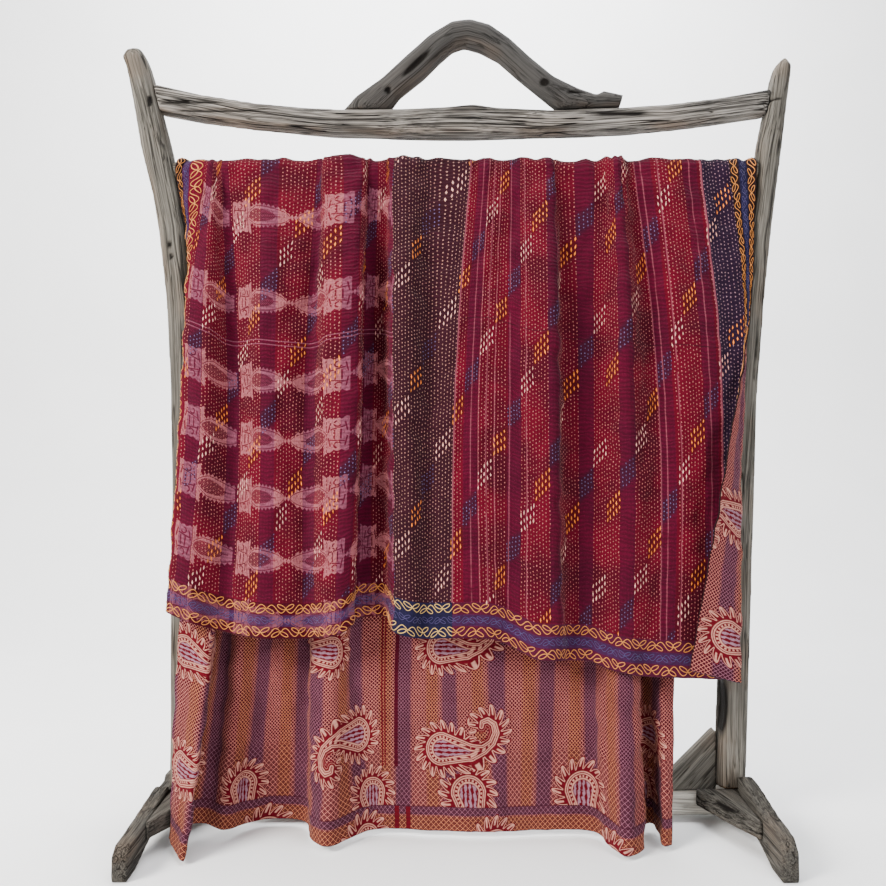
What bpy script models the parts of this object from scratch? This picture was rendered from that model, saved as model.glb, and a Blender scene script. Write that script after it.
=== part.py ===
"""A kantha quilt hung over the bar of a weathered wooden quilt rack.

Metres, +Z up, +X to the right and -Y to the front. The origin is on the floor, midway between the feet.
The rack is old driftwood-like timber: two leaning posts, a sagging top rail with a bent branch on it, a round
bar, a stretcher, and two arched feet with triangular corner blocks. The quilt is one stitched sheet. It hangs
in front and behind, and its back half reaches nearly to the floor.
"""

import math
from collections import namedtuple

import bmesh
import bpy
import numpy as np

# ---- Driving sizes -------------------------------------------------------------------------------------------

GAP = 0.0003  # between pieces that touch
SHARP_ANGLE = math.radians(40)
POST_HALF_DEPTH = 0.026
POST_FOOT_Z = 0.0613
POST_CHAMFER = 0.010
POST_TOP_INSET = 0.008  # how far each post's top face stands in from its sides
RAIL_HALF_DEPTH = 0.028
RAIL_END_HALF_DEPTH = 0.018
RAIL_CHAMFER = 0.008
BAR_RADIUS = 0.019
BAR_Z = 1.194
BAR_FACETS = 24
STRETCHER_FRONT_Y = -0.015
STRETCHER_BACK_Y = 0.030
STRETCHER_LOW_Z = 0.009
STRETCHER_TOP_Z = 0.050
STRETCHER_CUT = 0.004  # off its upper front edge
GUSSET_TOP_Z = 0.160
GUSSET_REACH = 0.105
GUSSET_BACK_Y = 0.029
GUSSET_TIP = 0.006  # width of its two blunt corners
CORNER_LOW_Z = 0.030
CORNER_TOP_Z = 0.061
CORNER_LENGTH = 0.146
CORNER_REACH = 0.072
CORNER_TIP = 0.005
FOOT_HALF_LENGTH = 0.246

CLOTH_THICKNESS = 0.003
CLOTH_COLUMNS = 84
FRONT_ROWS = 10
BACK_ROWS = 14
WRAP_ROWS = 6

# The posts' two sides, bottom to top: x of the outer and inner face of the left and the right post.
PostLevel = namedtuple("PostLevel", "z left_outer left_inner right_inner right_outer")
POST_LEVELS = (
    PostLevel(POST_FOOT_Z, -0.5270, -0.4790, 0.4815, 0.5315),
    PostLevel(0.170, -0.5265, -0.4795, 0.4830, 0.5330),
    PostLevel(0.340, -0.5260, -0.4800, 0.4880, 0.5370),
    PostLevel(0.590, -0.5220, -0.4795, 0.4995, 0.5470),
    PostLevel(0.772, -0.5245, -0.4825, 0.5100, 0.5512),
    PostLevel(0.950, -0.5325, -0.4865, 0.5240, 0.5630),
    PostLevel(1.085, -0.5475, -0.4970, 0.5400, 0.5770),
    PostLevel(1.150, -0.5580, -0.5090, 0.5490, 0.5855),
    PostLevel(1.240, -0.5800, -0.5295, 0.5570, 0.5965),
    PostLevel(1.365, -0.6025, -0.5610, 0.5825, 0.6120),
    PostLevel(1.388, -0.6075, -0.5680, 0.5900, 0.6140),
    PostLevel(1.404, -0.6140, -0.5740, 0.5950, 0.6130),
)
POST_TOPS = {"left": 1.4185, "right": 1.4005}

# The top rail's upper and lower edge along its length. Its ends follow the posts' inner faces.
RailStation = namedtuple("RailStation", "x low_z top_z")
RAIL_STATIONS = (
    RailStation(-0.553, 1.3020, 1.3560),
    RailStation(-0.470, 1.2875, 1.3350),
    RailStation(-0.370, 1.2745, 1.3190),
    RailStation(-0.280, 1.2670, 1.3110),
    RailStation(-0.215, 1.2620, 1.3073),
    RailStation(-0.105, 1.2595, 1.3066),
    RailStation(-0.030, 1.2585, 1.3090),
    RailStation(0.030, 1.2580, 1.3145),
    RailStation(0.075, 1.2585, 1.3085),
    RailStation(0.175, 1.2615, 1.3066),
    RailStation(0.310, 1.2655, 1.3105),
    RailStation(0.390, 1.2740, 1.3160),
    RailStation(0.480, 1.2845, 1.3280),
    RailStation(0.590, 1.2975, 1.3465),
)

# The bent branch, left end to right end: a point on its underside, a point on its back, and its half depth.
# A height of None lies on the rail.
BranchStation = namedtuple("BranchStation", "low_x low_z back_x back_z half_depth")
BRANCH_STATIONS = (
    BranchStation(-0.120, None, -0.212, None, 0.019),
    BranchStation(-0.118, 1.310, -0.190, 1.334, 0.023),
    BranchStation(-0.104, 1.331, -0.140, 1.368, 0.025),
    BranchStation(-0.060, 1.367, -0.094, 1.411, 0.026),
    BranchStation(-0.032, 1.396, -0.050, 1.450, 0.026),
    BranchStation(-0.008, 1.418, -0.008, 1.474, 0.027),
    BranchStation(0.014, 1.4255, 0.026, 1.4775, 0.027),
    BranchStation(0.042, 1.417, 0.062, 1.468, 0.027),
    BranchStation(0.076, 1.399, 0.100, 1.442, 0.026),
    BranchStation(0.109, 1.370, 0.136, 1.409, 0.026),
    BranchStation(0.152, 1.336, 0.180, 1.3715, 0.029),
    BranchStation(0.186, None, 0.229, 1.349, 0.026),
    BranchStation(0.224, None, 0.262, 1.338, 0.022),
    BranchStation(0.248, None, 0.271, 1.3465, 0.020),
    BranchStation(0.300, None, 0.309, 1.338, 0.018),
)
BRANCH_FACETS = 12

# The feet's upper edge from the middle to an end, as distance from the middle and height.
FootPoint = namedtuple("FootPoint", "reach z")
FOOT_TOP = (FootPoint(0.074, 0.084), FootPoint(0.161, 0.071), FootPoint(0.228, 0.067))
FOOT_SHOULDER_Z = 0.088
FOOT_TIP_Z = 0.050
FOOT_ARCH = (FootPoint(0.200, 0.0), FootPoint(0.144, 0.015), FootPoint(0.075, 0.024), FootPoint(0.0, 0.030))
FOOT_FACES = {"left": (-0.5495, -0.5233), "right": (0.5100, 0.5380)}
FOOT_HEIGHTS = {"left": 0.80, "right": 1.0}  # share of the full height

# ---- The quilt's folds ---------------------------------------------------------------------------------------
# A row is one ridge, valley or turned edge, in order across the cloth from its left edge. Each has its place in
# plan part of the way down and at the hem, and the hem's height there. At the bar, proud is how far it stands off.

Fold = namedtuple("Fold", "name x_bar proud x_mid y_mid x_hem y_hem z_hem")
BackFold = namedtuple("BackFold", "name proud x_mid y_mid x_hem y_hem z_hem")
FRONT_MID = 0.58  # share of the way down at which the mid columns hold
FRONT_FOLDS = (
    Fold("left edge", -0.5145, 0.000, -0.455, -0.050, -0.446, -0.083, 0.386),
    Fold("left turn back", -0.485, 0.000, -0.488, -0.050, -0.502, -0.080, 0.396),
    Fold("left turn", -0.463, 0.001, -0.493, -0.060, -0.509, -0.090, 0.399),
    Fold("left panel", -0.443, 0.001, -0.448, -0.072, -0.466, -0.102, 0.383),
    Fold("first valley", -0.424, 0.000, -0.401, -0.042, -0.410, -0.074, 0.361),
    Fold("field ridge", -0.355, 0.002, -0.347, -0.068, -0.348, -0.098, 0.355),
    Fold("field", -0.286, 0.001, -0.298, -0.060, -0.293, -0.090, 0.352),
    Fold("pleat foot", -0.247, 0.000, -0.266, -0.050, -0.263, -0.082, 0.351),
    Fold("pleat left", -0.238, 0.010, -0.233, -0.080, -0.229, -0.108, 0.358),
    Fold("pleat right", -0.180, 0.012, -0.186, -0.086, -0.200, -0.110, 0.366),
    Fold("pleat edge", -0.167, 0.006, -0.172, -0.072, -0.184, -0.094, 0.376),
    Fold("pleat valley", -0.162, 0.001, -0.176, -0.034, -0.186, -0.060, 0.380),
    Fold("valley floor", -0.128, 0.000, -0.134, -0.028, -0.130, -0.052, 0.384),
    Fold("plum edge", -0.115, 0.009, -0.111, -0.076, -0.109, -0.098, 0.366),
    Fold("plum ridge", -0.082, 0.010, -0.083, -0.082, -0.080, -0.106, 0.358),
    Fold("plum crease", -0.047, 0.000, -0.052, -0.060, -0.052, -0.089, 0.352),
    Fold("plum side", 0.010, 0.002, -0.021, -0.067, -0.025, -0.095, 0.354),
    Fold("middle ridge", 0.072, 0.003, 0.053, -0.070, 0.057, -0.096, 0.353),
    Fold("tuck", 0.101, 0.000, 0.094, -0.067, 0.089, -0.088, 0.341),
    Fold("main ridge", 0.134, 0.005, 0.135, -0.081, 0.134, -0.110, 0.321),
    Fold("main edge", 0.173, 0.007, 0.174, -0.083, 0.173, -0.110, 0.318),
    Fold("main valley", 0.184, 0.000, 0.194, -0.046, 0.196, -0.080, 0.312),
    Fold("dark floor", 0.243, 0.000, 0.241, -0.038, 0.231, -0.076, 0.310),
    Fold("bright foot", 0.269, 0.001, 0.264, -0.044, 0.256, -0.086, 0.302),
    Fold("bright ridge", 0.292, 0.013, 0.301, -0.078, 0.292, -0.101, 0.293),
    Fold("slant valley", 0.317, 0.000, 0.355, -0.060, 0.346, -0.088, 0.285),
    Fold("right field", 0.380, 0.005, 0.411, -0.070, 0.400, -0.094, 0.284),
    Fold("right turn", 0.466, 0.001, 0.492, -0.066, 0.486, -0.092, 0.280),
    Fold("right turn front", 0.492, 0.001, 0.499, -0.083, 0.485, -0.112, 0.281),
    Fold("right edge", 0.5465, 0.001, 0.466, -0.116, 0.399, -0.118, 0.304),
)
FRONT_UPPER_AT = 0.30
FRONT_UPPER_BLEND = 0.66  # how far most folds have formed there
FRONT_FULLNESS = 0.3  # how much deeper the front folds are there
FRONT_UPPER = {
    "left edge": (-0.474, -0.032),
    "left turn back": (-0.486, -0.040),
    "left turn": (-0.486, -0.047),
    "slant valley": (0.345, -0.034),
    "right turn": (0.490, -0.046),
    "right turn front": (0.517, -0.045),
    "right edge": (0.527, -0.046),
}

BACK_MID = 0.714
BACK_FOLDS = (
    BackFold("left edge", 0.001, -0.497, -0.056, -0.491, -0.130, 0.020),
    BackFold("strip ridge", 0.001, -0.437, -0.064, -0.451, -0.187, 0.008),
    BackFold("strip back", 0.000, -0.438, -0.022, -0.468, -0.104, 0.030),
    BackFold("recess start", 0.000, -0.424, 0.002, -0.441, -0.082, 0.025),
    BackFold("recess ridge", 0.005, -0.396, -0.018, -0.410, -0.092, 0.018),
    BackFold("recess floor", 0.000, -0.350, -0.002, -0.374, -0.054, 0.014),
    BackFold("recess wave", 0.003, -0.318, -0.008, -0.330, -0.034, 0.014),
    BackFold("recess end", 0.000, -0.270, 0.004, -0.270, -0.050, 0.014),
    BackFold("panel edge", 0.001, -0.259, -0.042, -0.249, -0.121, 0.012),
    BackFold("panel ridge", 0.005, -0.220, -0.054, -0.216, -0.141, 0.012),
    BackFold("panel valley", 0.000, -0.180, -0.032, -0.163, -0.082, 0.012),
    BackFold("long wave", 0.003, -0.128, -0.040, -0.126, -0.072, 0.012),
    BackFold("middle", 0.001, -0.048, -0.034, -0.048, -0.079, 0.012),
    BackFold("middle wave", 0.005, 0.045, -0.040, 0.057, -0.086, 0.012),
    BackFold("right middle", 0.000, 0.150, -0.034, 0.134, -0.078, 0.012),
    BackFold("column foot", 0.002, 0.243, -0.024, 0.238, -0.083, 0.012),
    BackFold("column left", 0.000, 0.266, -0.040, 0.256, -0.128, 0.011),
    BackFold("column front", 0.005, 0.297, -0.066, 0.280, -0.172, 0.009),
    BackFold("column right", 0.001, 0.330, -0.044, 0.314, -0.143, 0.010),
    BackFold("column back", 0.000, 0.327, 0.000, 0.328, -0.070, 0.014),
    BackFold("gap floor", 0.001, 0.345, 0.012, 0.347, -0.058, 0.016),
    BackFold("strip wave", 0.003, 0.366, -0.016, 0.353, -0.098, 0.014),
    BackFold("strip turn", 0.001, 0.382, -0.026, 0.352, -0.136, 0.010),
    BackFold("right edge", 0.001, 0.404, -0.012, 0.364, -0.136, 0.012),
)
BACK_UPPER_AT = 0.40
BACK_UPPER_BLEND = 0.42
BACK_FULLNESS = 1.2  # how much deeper the back folds are there
BACK_BAR_INSET = 0.014  # how far the back's left edge stands in from the front's, to pass the post
BACK_UPPER = {
    "left edge": (-0.462, -0.026),
    "strip ridge": (-0.432, -0.030),
    "strip back": (-0.422, -0.002),
    "recess start": (-0.408, 0.012),
    "right edge": (0.462, 0.014),
}

Finish = namedtuple("Finish", "colour roughness metallic")
FINISHES = {
    "weathered_wood": Finish((0.30, 0.27, 0.24, 1.0), 0.85, 0.0),
    "grey_branch": Finish((0.34, 0.30, 0.26, 1.0), 0.80, 0.0),
    "whitewashed_wood": Finish((0.62, 0.60, 0.56, 1.0), 0.90, 0.0),
    "stitched_cotton": Finish((0.34, 0.04, 0.07, 1.0), 0.95, 0.0),
}


# ---- Helpers -------------------------------------------------------------------------------------------------


def clear_scene():
    """Removes every object of the scene that the script starts in."""
    for item in list(bpy.data.objects):
        bpy.data.objects.remove(item, do_unlink=True)


def finish_material(name):
    """The named finish as a Principled material, made once."""
    if name in bpy.data.materials:
        return bpy.data.materials[name]
    finish = FINISHES[name]
    material = bpy.data.materials.new(name)
    material.use_nodes = True
    shader = material.node_tree.nodes["Principled BSDF"]
    shader.inputs["Base Color"].default_value = finish.colour
    shader.inputs["Roughness"].default_value = finish.roughness
    shader.inputs["Metallic"].default_value = finish.metallic
    material.diffuse_color = finish.colour
    return material


def add_object(name, points, faces, finish, smooth=False):
    """A mesh object of these points and faces, its faces turned to point out."""
    mesh = bpy.data.meshes.new(name)
    mesh.from_pydata([tuple(map(float, point)) for point in points], [], [tuple(face) for face in faces])
    build = bmesh.new()
    build.from_mesh(mesh)
    bmesh.ops.recalc_face_normals(build, faces=build.faces)
    build.to_mesh(mesh)
    build.free()
    mesh.materials.append(finish_material(finish))
    if smooth:
        mesh.shade_smooth()
        mesh.set_sharp_from_angle(angle=SHARP_ANGLE)
    item = bpy.data.objects.new(name, mesh)
    bpy.context.scene.collection.objects.link(item)
    return item


def loft(name, rings, finish, smooth=False):
    """A closed solid through rings of equal point counts, with flat end caps."""
    count = len(rings[0])
    points = [point for ring in rings for point in ring]
    faces = [tuple(range(count)), tuple(range(len(points) - count, len(points)))]
    for row in range(len(rings) - 1):
        for column in range(count):
            following = (column + 1) % count
            lower = row * count
            upper = lower + count
            faces.append((lower + column, lower + following, upper + following, upper + column))
    return add_object(name, points, faces, finish, smooth)


def prism(name, outline, low, high, axis, finish):
    """A flat outline, as pairs, drawn out along X or Z from low to high."""
    if axis == "X":
        rings = [[(place, first, second) for first, second in outline] for place in (low, high)]
    else:
        rings = [[(first, second, place) for first, second in outline] for place in (low, high)]
    return loft(name, rings, finish)


def between(levels, column, place, by):
    """The named column of a table, read at a place of its ordering column."""
    return float(np.interp(place, [getattr(row, by) for row in levels], [getattr(row, column) for row in levels]))


def inner_face(side, z):
    return between(POST_LEVELS, side + "_inner", z, "z")


# ---- The rack ------------------------------------------------------------------------------------------------


def post_ring(z, x_low, x_high, half_depth, chamfer):
    """A rectangle with its corners cut off, at one height of a post."""
    return [
        (x_low + chamfer, -half_depth, z),
        (x_high - chamfer, -half_depth, z),
        (x_high, -half_depth + chamfer, z),
        (x_high, half_depth - chamfer, z),
        (x_high - chamfer, half_depth, z),
        (x_low + chamfer, half_depth, z),
        (x_low, half_depth - chamfer, z),
        (x_low, -half_depth + chamfer, z),
    ]


def make_post(side):
    """A leaning post, rounded off at its top."""
    rings = []
    for level in POST_LEVELS:
        faces = sorted((getattr(level, side + "_outer"), getattr(level, side + "_inner")))
        rings.append(post_ring(level.z, faces[0], faces[1], POST_HALF_DEPTH, POST_CHAMFER))
    levels = POST_LEVELS[:-1] if side == "right" else POST_LEVELS
    rings = rings[: len(levels)]
    low, high = sorted((getattr(levels[-1], side + "_outer"), getattr(levels[-1], side + "_inner")))
    low += POST_TOP_INSET
    high -= POST_TOP_INSET
    rings.append(post_ring(POST_TOPS[side], low, high, POST_HALF_DEPTH - POST_TOP_INSET, POST_TOP_INSET / 2))
    return loft("upright_" + side, rings, "weathered_wood")


def rail_ring(station, half_depth):
    """The rail's cross-section: flat above and below, with cut corners."""
    corner = RAIL_CHAMFER
    low, top = station.low_z, station.top_z
    profile = [
        (-half_depth + corner, low),
        (half_depth - corner, low),
        (half_depth, low + corner),
        (half_depth, top - corner),
        (half_depth - corner, top),
        (-half_depth + corner, top),
        (-half_depth, top - corner),
        (-half_depth, low + corner),
    ]
    return [(station.x, y, z) for y, z in profile]


def make_top_rail():
    """The sagging rail. Its end rings are moved along X onto the posts' inner faces."""
    ends = RAIL_STATIONS[0].x, RAIL_STATIONS[-1].x
    taper = (RAIL_END_HALF_DEPTH, RAIL_HALF_DEPTH, RAIL_END_HALF_DEPTH)
    depths = np.interp([station.x for station in RAIL_STATIONS], (ends[0], 0.0, ends[1]), taper)
    rings = [rail_ring(station, depth) for station, depth in zip(RAIL_STATIONS, depths)]
    rings[0] = [(inner_face("left", z) + GAP, y, z) for _, y, z in rings[0]]
    rings[-1] = [(inner_face("right", z) - GAP, y, z) for _, y, z in rings[-1]]
    return loft("top_rail", rings, "weathered_wood")


def rail_top(x):
    return between(RAIL_STATIONS, "top_z", x, "x")


def branch_ring(station):
    """An oval round the branch. Where it meets the rail, it stands on the rail's top."""
    low_z = rail_top(station.low_x) + GAP if station.low_z is None else station.low_z
    back_z = rail_top(station.back_x) + GAP if station.back_z is None else station.back_z
    ring = []
    for step in range(BRANCH_FACETS):
        turn = 2 * math.pi * step / BRANCH_FACETS
        share = 0.5 - 0.5 * math.cos(turn)
        x = station.low_x + (station.back_x - station.low_x) * share
        y = station.half_depth * math.sin(turn)
        ring.append((x, y, low_z + (back_z - low_z) * share))
    return ring


def make_branch():
    """The bent branch that makes a handle over the rail."""
    rings = [branch_ring(station) for station in BRANCH_STATIONS]
    return loft("branch_handle", rings, "grey_branch", smooth=True)


def make_bar():
    """The round bar that the quilt hangs over, cut to the posts' leaning faces."""
    rings = []
    for side, gap in (("left", GAP), ("right", -GAP)):
        ring = []
        for step in range(BAR_FACETS):
            turn = 2 * math.pi * step / BAR_FACETS
            y = BAR_RADIUS * math.cos(turn)
            z = BAR_Z + BAR_RADIUS * math.sin(turn)
            ring.append((inner_face(side, z) + gap, y, z))
        rings.append(ring)
    return loft("hanging_bar", rings, "weathered_wood", smooth=True)


def make_stretcher():
    left = FOOT_FACES["left"][1] + GAP
    right = FOOT_FACES["right"][0] - GAP
    outline = [
        (STRETCHER_FRONT_Y, STRETCHER_LOW_Z),
        (STRETCHER_BACK_Y, STRETCHER_LOW_Z),
        (STRETCHER_BACK_Y, STRETCHER_TOP_Z),
        (STRETCHER_FRONT_Y + STRETCHER_CUT, STRETCHER_TOP_Z),
        (STRETCHER_FRONT_Y, STRETCHER_TOP_Z - STRETCHER_CUT),
    ]
    return prism("stretcher", outline, left, right, "X", "whitewashed_wood")


def make_gusset(side):
    """An upright triangle between the post's inner face and the stretcher's top."""
    inward = 1 if side == "left" else -1
    low = max(STRETCHER_TOP_Z + GAP, POST_FOOT_Z)
    foot = inner_face(side, low) + inward * GAP
    head = inner_face(side, GUSSET_TOP_Z) + inward * GAP
    outline = [
        (foot, STRETCHER_TOP_Z + GAP),
        (foot + inward * GUSSET_REACH, STRETCHER_TOP_Z + GAP),
        (foot + inward * GUSSET_REACH, STRETCHER_TOP_Z + GAP + GUSSET_TIP),
        (head + inward * GUSSET_TIP, GUSSET_TOP_Z),
        (head, GUSSET_TOP_Z),
    ]
    rings = [[(x, y, z) for x, z in outline] for y in (0.0, GUSSET_BACK_Y)]
    return loft("gusset_" + side, rings, "weathered_wood")


def make_corner(side, front):
    """A flat triangle in the corner of a foot and the stretcher."""
    inward = 1 if side == "left" else -1
    foot = FOOT_FACES[side][1 if side == "left" else 0] + inward * GAP
    against = STRETCHER_FRONT_Y - GAP if front else STRETCHER_BACK_Y + GAP
    away = -1 if front else 1
    outline = [
        (foot, against),
        (foot + inward * CORNER_REACH, against),
        (foot + inward * CORNER_REACH, against + away * CORNER_TIP),
        (foot + inward * CORNER_TIP, against + away * CORNER_LENGTH),
        (foot, against + away * CORNER_LENGTH),
    ]
    name = "corner_" + ("front_" if front else "back_") + side
    return prism(name, outline, CORNER_LOW_Z, CORNER_TOP_Z, "Z", "weathered_wood")


def foot_outline(height):
    """The foot seen from its side: an arch below, a ridge above and a notch for the post."""
    notch = POST_HALF_DEPTH + GAP
    half_top = [(notch, POST_FOOT_Z - GAP), (notch + GAP, FOOT_SHOULDER_Z * height)]
    half_top += [(point.reach, point.z * height) for point in FOOT_TOP]
    half_top += [(FOOT_HALF_LENGTH, FOOT_TIP_Z * height), (FOOT_HALF_LENGTH, 0.0)]
    half = half_top + [(point.reach, point.z) for point in FOOT_ARCH]
    mirrored = [(-reach, z) for reach, z in reversed(half[:-1])]
    return half + mirrored


def make_foot(side):
    low, high = FOOT_FACES[side]
    return prism("foot_" + side, foot_outline(FOOT_HEIGHTS[side]), low, high, "X", "weathered_wood")


def make_rack():
    for side in ("left", "right"):
        make_post(side)
        make_gusset(side)
        make_foot(side)
        make_corner(side, True)
        make_corner(side, False)
    make_top_rail()
    make_branch()
    make_bar()
    make_stretcher()


# ---- The quilt -----------------------------------------------------------------------------------------------


def hermite(knots, values, place, steady=False):
    """A smooth curve through values at knots, read at one place. The values may be arrays.

    A steady curve never turns back between its knots, so it needs values that rise all the way.
    """
    knots = np.asarray(knots, float)
    values = np.asarray(values, float)
    slopes = np.diff(values, axis=0) / np.diff(knots).reshape(-1, *[1] * (values.ndim - 1))
    if steady:
        inner = 2 * slopes[1:] * slopes[:-1] / (slopes[1:] + slopes[:-1])
    else:
        inner = 0.5 * (slopes[1:] + slopes[:-1])
    tangents = np.concatenate([slopes[:1], inner, slopes[-1:]])
    span = int(np.clip(np.searchsorted(knots, place) - 1, 0, len(knots) - 2))
    width = knots[span + 1] - knots[span]
    t = (place - knots[span]) / width
    return (
        (2 * t**3 - 3 * t**2 + 1) * values[span]
        + (t**3 - 2 * t**2 + t) * width * tangents[span]
        + (3 * t**2 - 2 * t**3) * values[span + 1]
        + (t**3 - t**2) * width * tangents[span + 1]
    )


def smooth_line(points, steps=10):
    """Close points on a smooth line through these, their lengths along it, and the lengths at these."""
    spans = np.sqrt(np.linalg.norm(np.diff(points, axis=0), axis=1))
    knots = np.concatenate([[0.0], np.cumsum(spans)])
    places = np.concatenate([np.linspace(a, b, steps, endpoint=False) for a, b in zip(knots, knots[1:])])
    dense = np.array([hermite(knots, points, place) for place in [*places, knots[-1]]])
    lengths = np.concatenate([[0.0], np.cumsum(np.linalg.norm(np.diff(dense, axis=0), axis=1))])
    return dense, lengths, lengths[::steps]


def flat_shares(folds):
    """Where each fold lies across the flat cloth, as a share of its width."""
    shares = []
    for level in ("mid", "hem"):
        plan = np.array([(getattr(fold, "x_" + level), getattr(fold, "y_" + level)) for fold in folds])
        at_folds = smooth_line(plan)[2]
        shares.append(at_folds / at_folds[-1])
    return np.mean(shares, axis=0)


def across(points, shares, wanted):
    """Points at the wanted shares of the cloth's width, on a smooth line through a level's folds."""
    dense, lengths, at_folds = smooth_line(points)
    places = [hermite(shares, at_folds, share, steady=True) for share in wanted]
    return np.stack([np.interp(places, lengths, dense[:, axis]) for axis in range(points.shape[1])], axis=1)


def flap_levels(folds, bar, upper_blend, upper, fullness):
    """The folds' places in plan at the bar, at the upper level, at the mid level and at the hem."""
    mid = np.array([(fold.x_mid, fold.y_mid) for fold in folds])
    hem = np.array([(fold.x_hem, fold.y_hem) for fold in folds])
    high = bar + (mid - bar) * upper_blend
    high[1:-1, 1] += fullness * (mid[1:-1, 1] - 0.5 * (mid[2:, 1] + mid[:-2, 1]))
    for row, fold in enumerate(folds):
        if fold.name in upper:
            high[row] = upper[fold.name]
    return np.stack([bar, high, mid, hem])


def flap_row(folds, knots, levels, share, shares, wanted):
    """One row of a flap, at this share of the way from the bar to the hem."""
    plan = hermite(knots, levels, share)
    heights = np.array([BAR_Z + (fold.z_hem - BAR_Z) * share for fold in folds])
    return across(np.column_stack([plan, heights]), shares, wanted)


def cloth_rows():
    """The cloth's middle surface as rows of points, from the front hem over the bar to the back hem."""
    wanted = np.linspace(0.0, 1.0, CLOTH_COLUMNS + 1)
    shares = flat_shares(FRONT_FOLDS)
    bar = np.array([(fold.x_bar, -wrap_radius() - fold.proud) for fold in FRONT_FOLDS])
    levels = flap_levels(FRONT_FOLDS, bar, FRONT_UPPER_BLEND, FRONT_UPPER, FRONT_FULLNESS)
    knots = (0.0, FRONT_UPPER_AT, FRONT_MID, 1.0)
    down = np.linspace(0.0, 1.0, FRONT_ROWS + 1)
    front = [flap_row(FRONT_FOLDS, knots, levels, share, shares, wanted) for share in down]
    back_shares = flat_shares(BACK_FOLDS)
    bar_x = across(bar, shares, back_shares)[:, 0]
    bar_x[0] += BACK_BAR_INSET
    bar = np.column_stack([bar_x, [wrap_radius() + fold.proud for fold in BACK_FOLDS]])
    levels = flap_levels(BACK_FOLDS, bar, BACK_UPPER_BLEND, BACK_UPPER, BACK_FULLNESS)
    knots = (0.0, BACK_UPPER_AT, BACK_MID, 1.0)
    down = np.linspace(0.0, 1.0, BACK_ROWS + 1)
    back = [flap_row(BACK_FOLDS, knots, levels, share, back_shares, wanted) for share in down]
    front[0][:, 1] = np.minimum(front[0][:, 1], -wrap_radius())
    back[0][:, 1] = np.maximum(back[0][:, 1], wrap_radius())
    return np.array(front[::-1] + wrap_rows(front[0], back[0]) + back)


def wrap_radius():
    """The radius of the cloth's middle surface round the bar. Its straight runs just clear the bar."""
    return (BAR_RADIUS + GAP) / math.cos(math.pi / (2 * WRAP_ROWS)) + CLOTH_THICKNESS / 2


def wrap_rows(front, back):
    """The rows over the bar, between the front flap's top row and the back flap's."""
    radius = wrap_radius()
    proud_front = -front[:, 1] - radius
    proud_back = back[:, 1] - radius
    rows = []
    for step in range(1, WRAP_ROWS):
        turn = math.pi * step / WRAP_ROWS
        reach = radius + proud_front * math.cos(turn / 2) ** 3 + proud_back * math.sin(turn / 2) ** 3
        x = front[:, 0] + (back[:, 0] - front[:, 0]) * step / WRAP_ROWS
        rows.append(np.column_stack([x, -reach * math.cos(turn), BAR_Z + reach * math.sin(turn)]))
    return rows


def sheet_normals(rows):
    """Unit normals of a grid of points. They point out of the hanging cloth's outer face."""
    along = np.gradient(rows, axis=0)
    over = np.gradient(rows, axis=1)
    normals = np.cross(over, along)
    return normals / np.linalg.norm(normals, axis=2, keepdims=True)


def make_quilt():
    """The quilt: one closed sheet of even thickness on the folded middle surface."""
    rows = cloth_rows()
    offset = sheet_normals(rows) * CLOTH_THICKNESS / 2
    count, width = rows.shape[:2]
    outer = (rows + offset).reshape(-1, 3)
    inner = (rows - offset).reshape(-1, 3)
    points = np.concatenate([outer, inner])
    size = count * width
    faces = []
    for row in range(count - 1):
        for column in range(width - 1):
            a = row * width + column
            quad = (a, a + 1, a + width + 1, a + width)
            faces.append(quad)
            faces.append(tuple(size + corner for corner in reversed(quad)))
    rim = [column for column in range(width)]
    rim += [row * width + width - 1 for row in range(1, count)]
    rim += [(count - 1) * width + column for column in range(width - 2, -1, -1)]
    rim += [row * width for row in range(count - 2, 0, -1)]
    for a, b in zip(rim, rim[1:] + rim[:1]):
        faces.append((a, size + a, size + b, b))
    return add_object("quilt", points, faces, "stitched_cotton", smooth=True)


def main():
    clear_scene()
    make_rack()
    make_quilt()


main()
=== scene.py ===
"""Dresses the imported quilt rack: a kantha quilt over the bar, its stitching and braids, and the old wood.

Metres, +Z up, +X to the right and -Y to the front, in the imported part's own frame.
"""

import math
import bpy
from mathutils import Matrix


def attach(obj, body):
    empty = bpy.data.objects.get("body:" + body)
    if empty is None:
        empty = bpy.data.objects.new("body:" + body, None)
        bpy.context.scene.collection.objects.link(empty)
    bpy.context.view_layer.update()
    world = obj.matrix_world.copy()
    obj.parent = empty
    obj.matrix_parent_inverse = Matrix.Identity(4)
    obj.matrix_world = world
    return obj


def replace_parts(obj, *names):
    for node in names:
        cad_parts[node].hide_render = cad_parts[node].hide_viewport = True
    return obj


bl_info = {
    "name": "Kantha Quilt on a Rack",
    "version": (1, 0, 0),
    "blender": (4, 5, 0),
    "location": "3D View > Sidebar > Quilt Rack",
    "description": "Hangs the stitched quilt on the packed rack and gives every piece its finish",
    "category": "Object",
}

from collections import namedtuple

import bpy
import numpy as np
from mathutils import Vector
from mathutils.noise import noise as noise_at

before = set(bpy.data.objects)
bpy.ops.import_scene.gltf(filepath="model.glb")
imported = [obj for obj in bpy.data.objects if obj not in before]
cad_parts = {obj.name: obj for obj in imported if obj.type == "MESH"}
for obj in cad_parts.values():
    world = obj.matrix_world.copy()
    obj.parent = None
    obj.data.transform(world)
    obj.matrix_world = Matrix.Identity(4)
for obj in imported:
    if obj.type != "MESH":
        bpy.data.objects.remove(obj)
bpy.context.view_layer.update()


def paint(*levels):
    """A colour given in everyday 0 to 255 steps, as the linear numbers that shaders take."""
    shares = [level / 255 for level in levels]
    return tuple(share / 12.92 if share <= 0.04045 else ((share + 0.055) / 1.055) ** 2.4 for share in shares)


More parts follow.
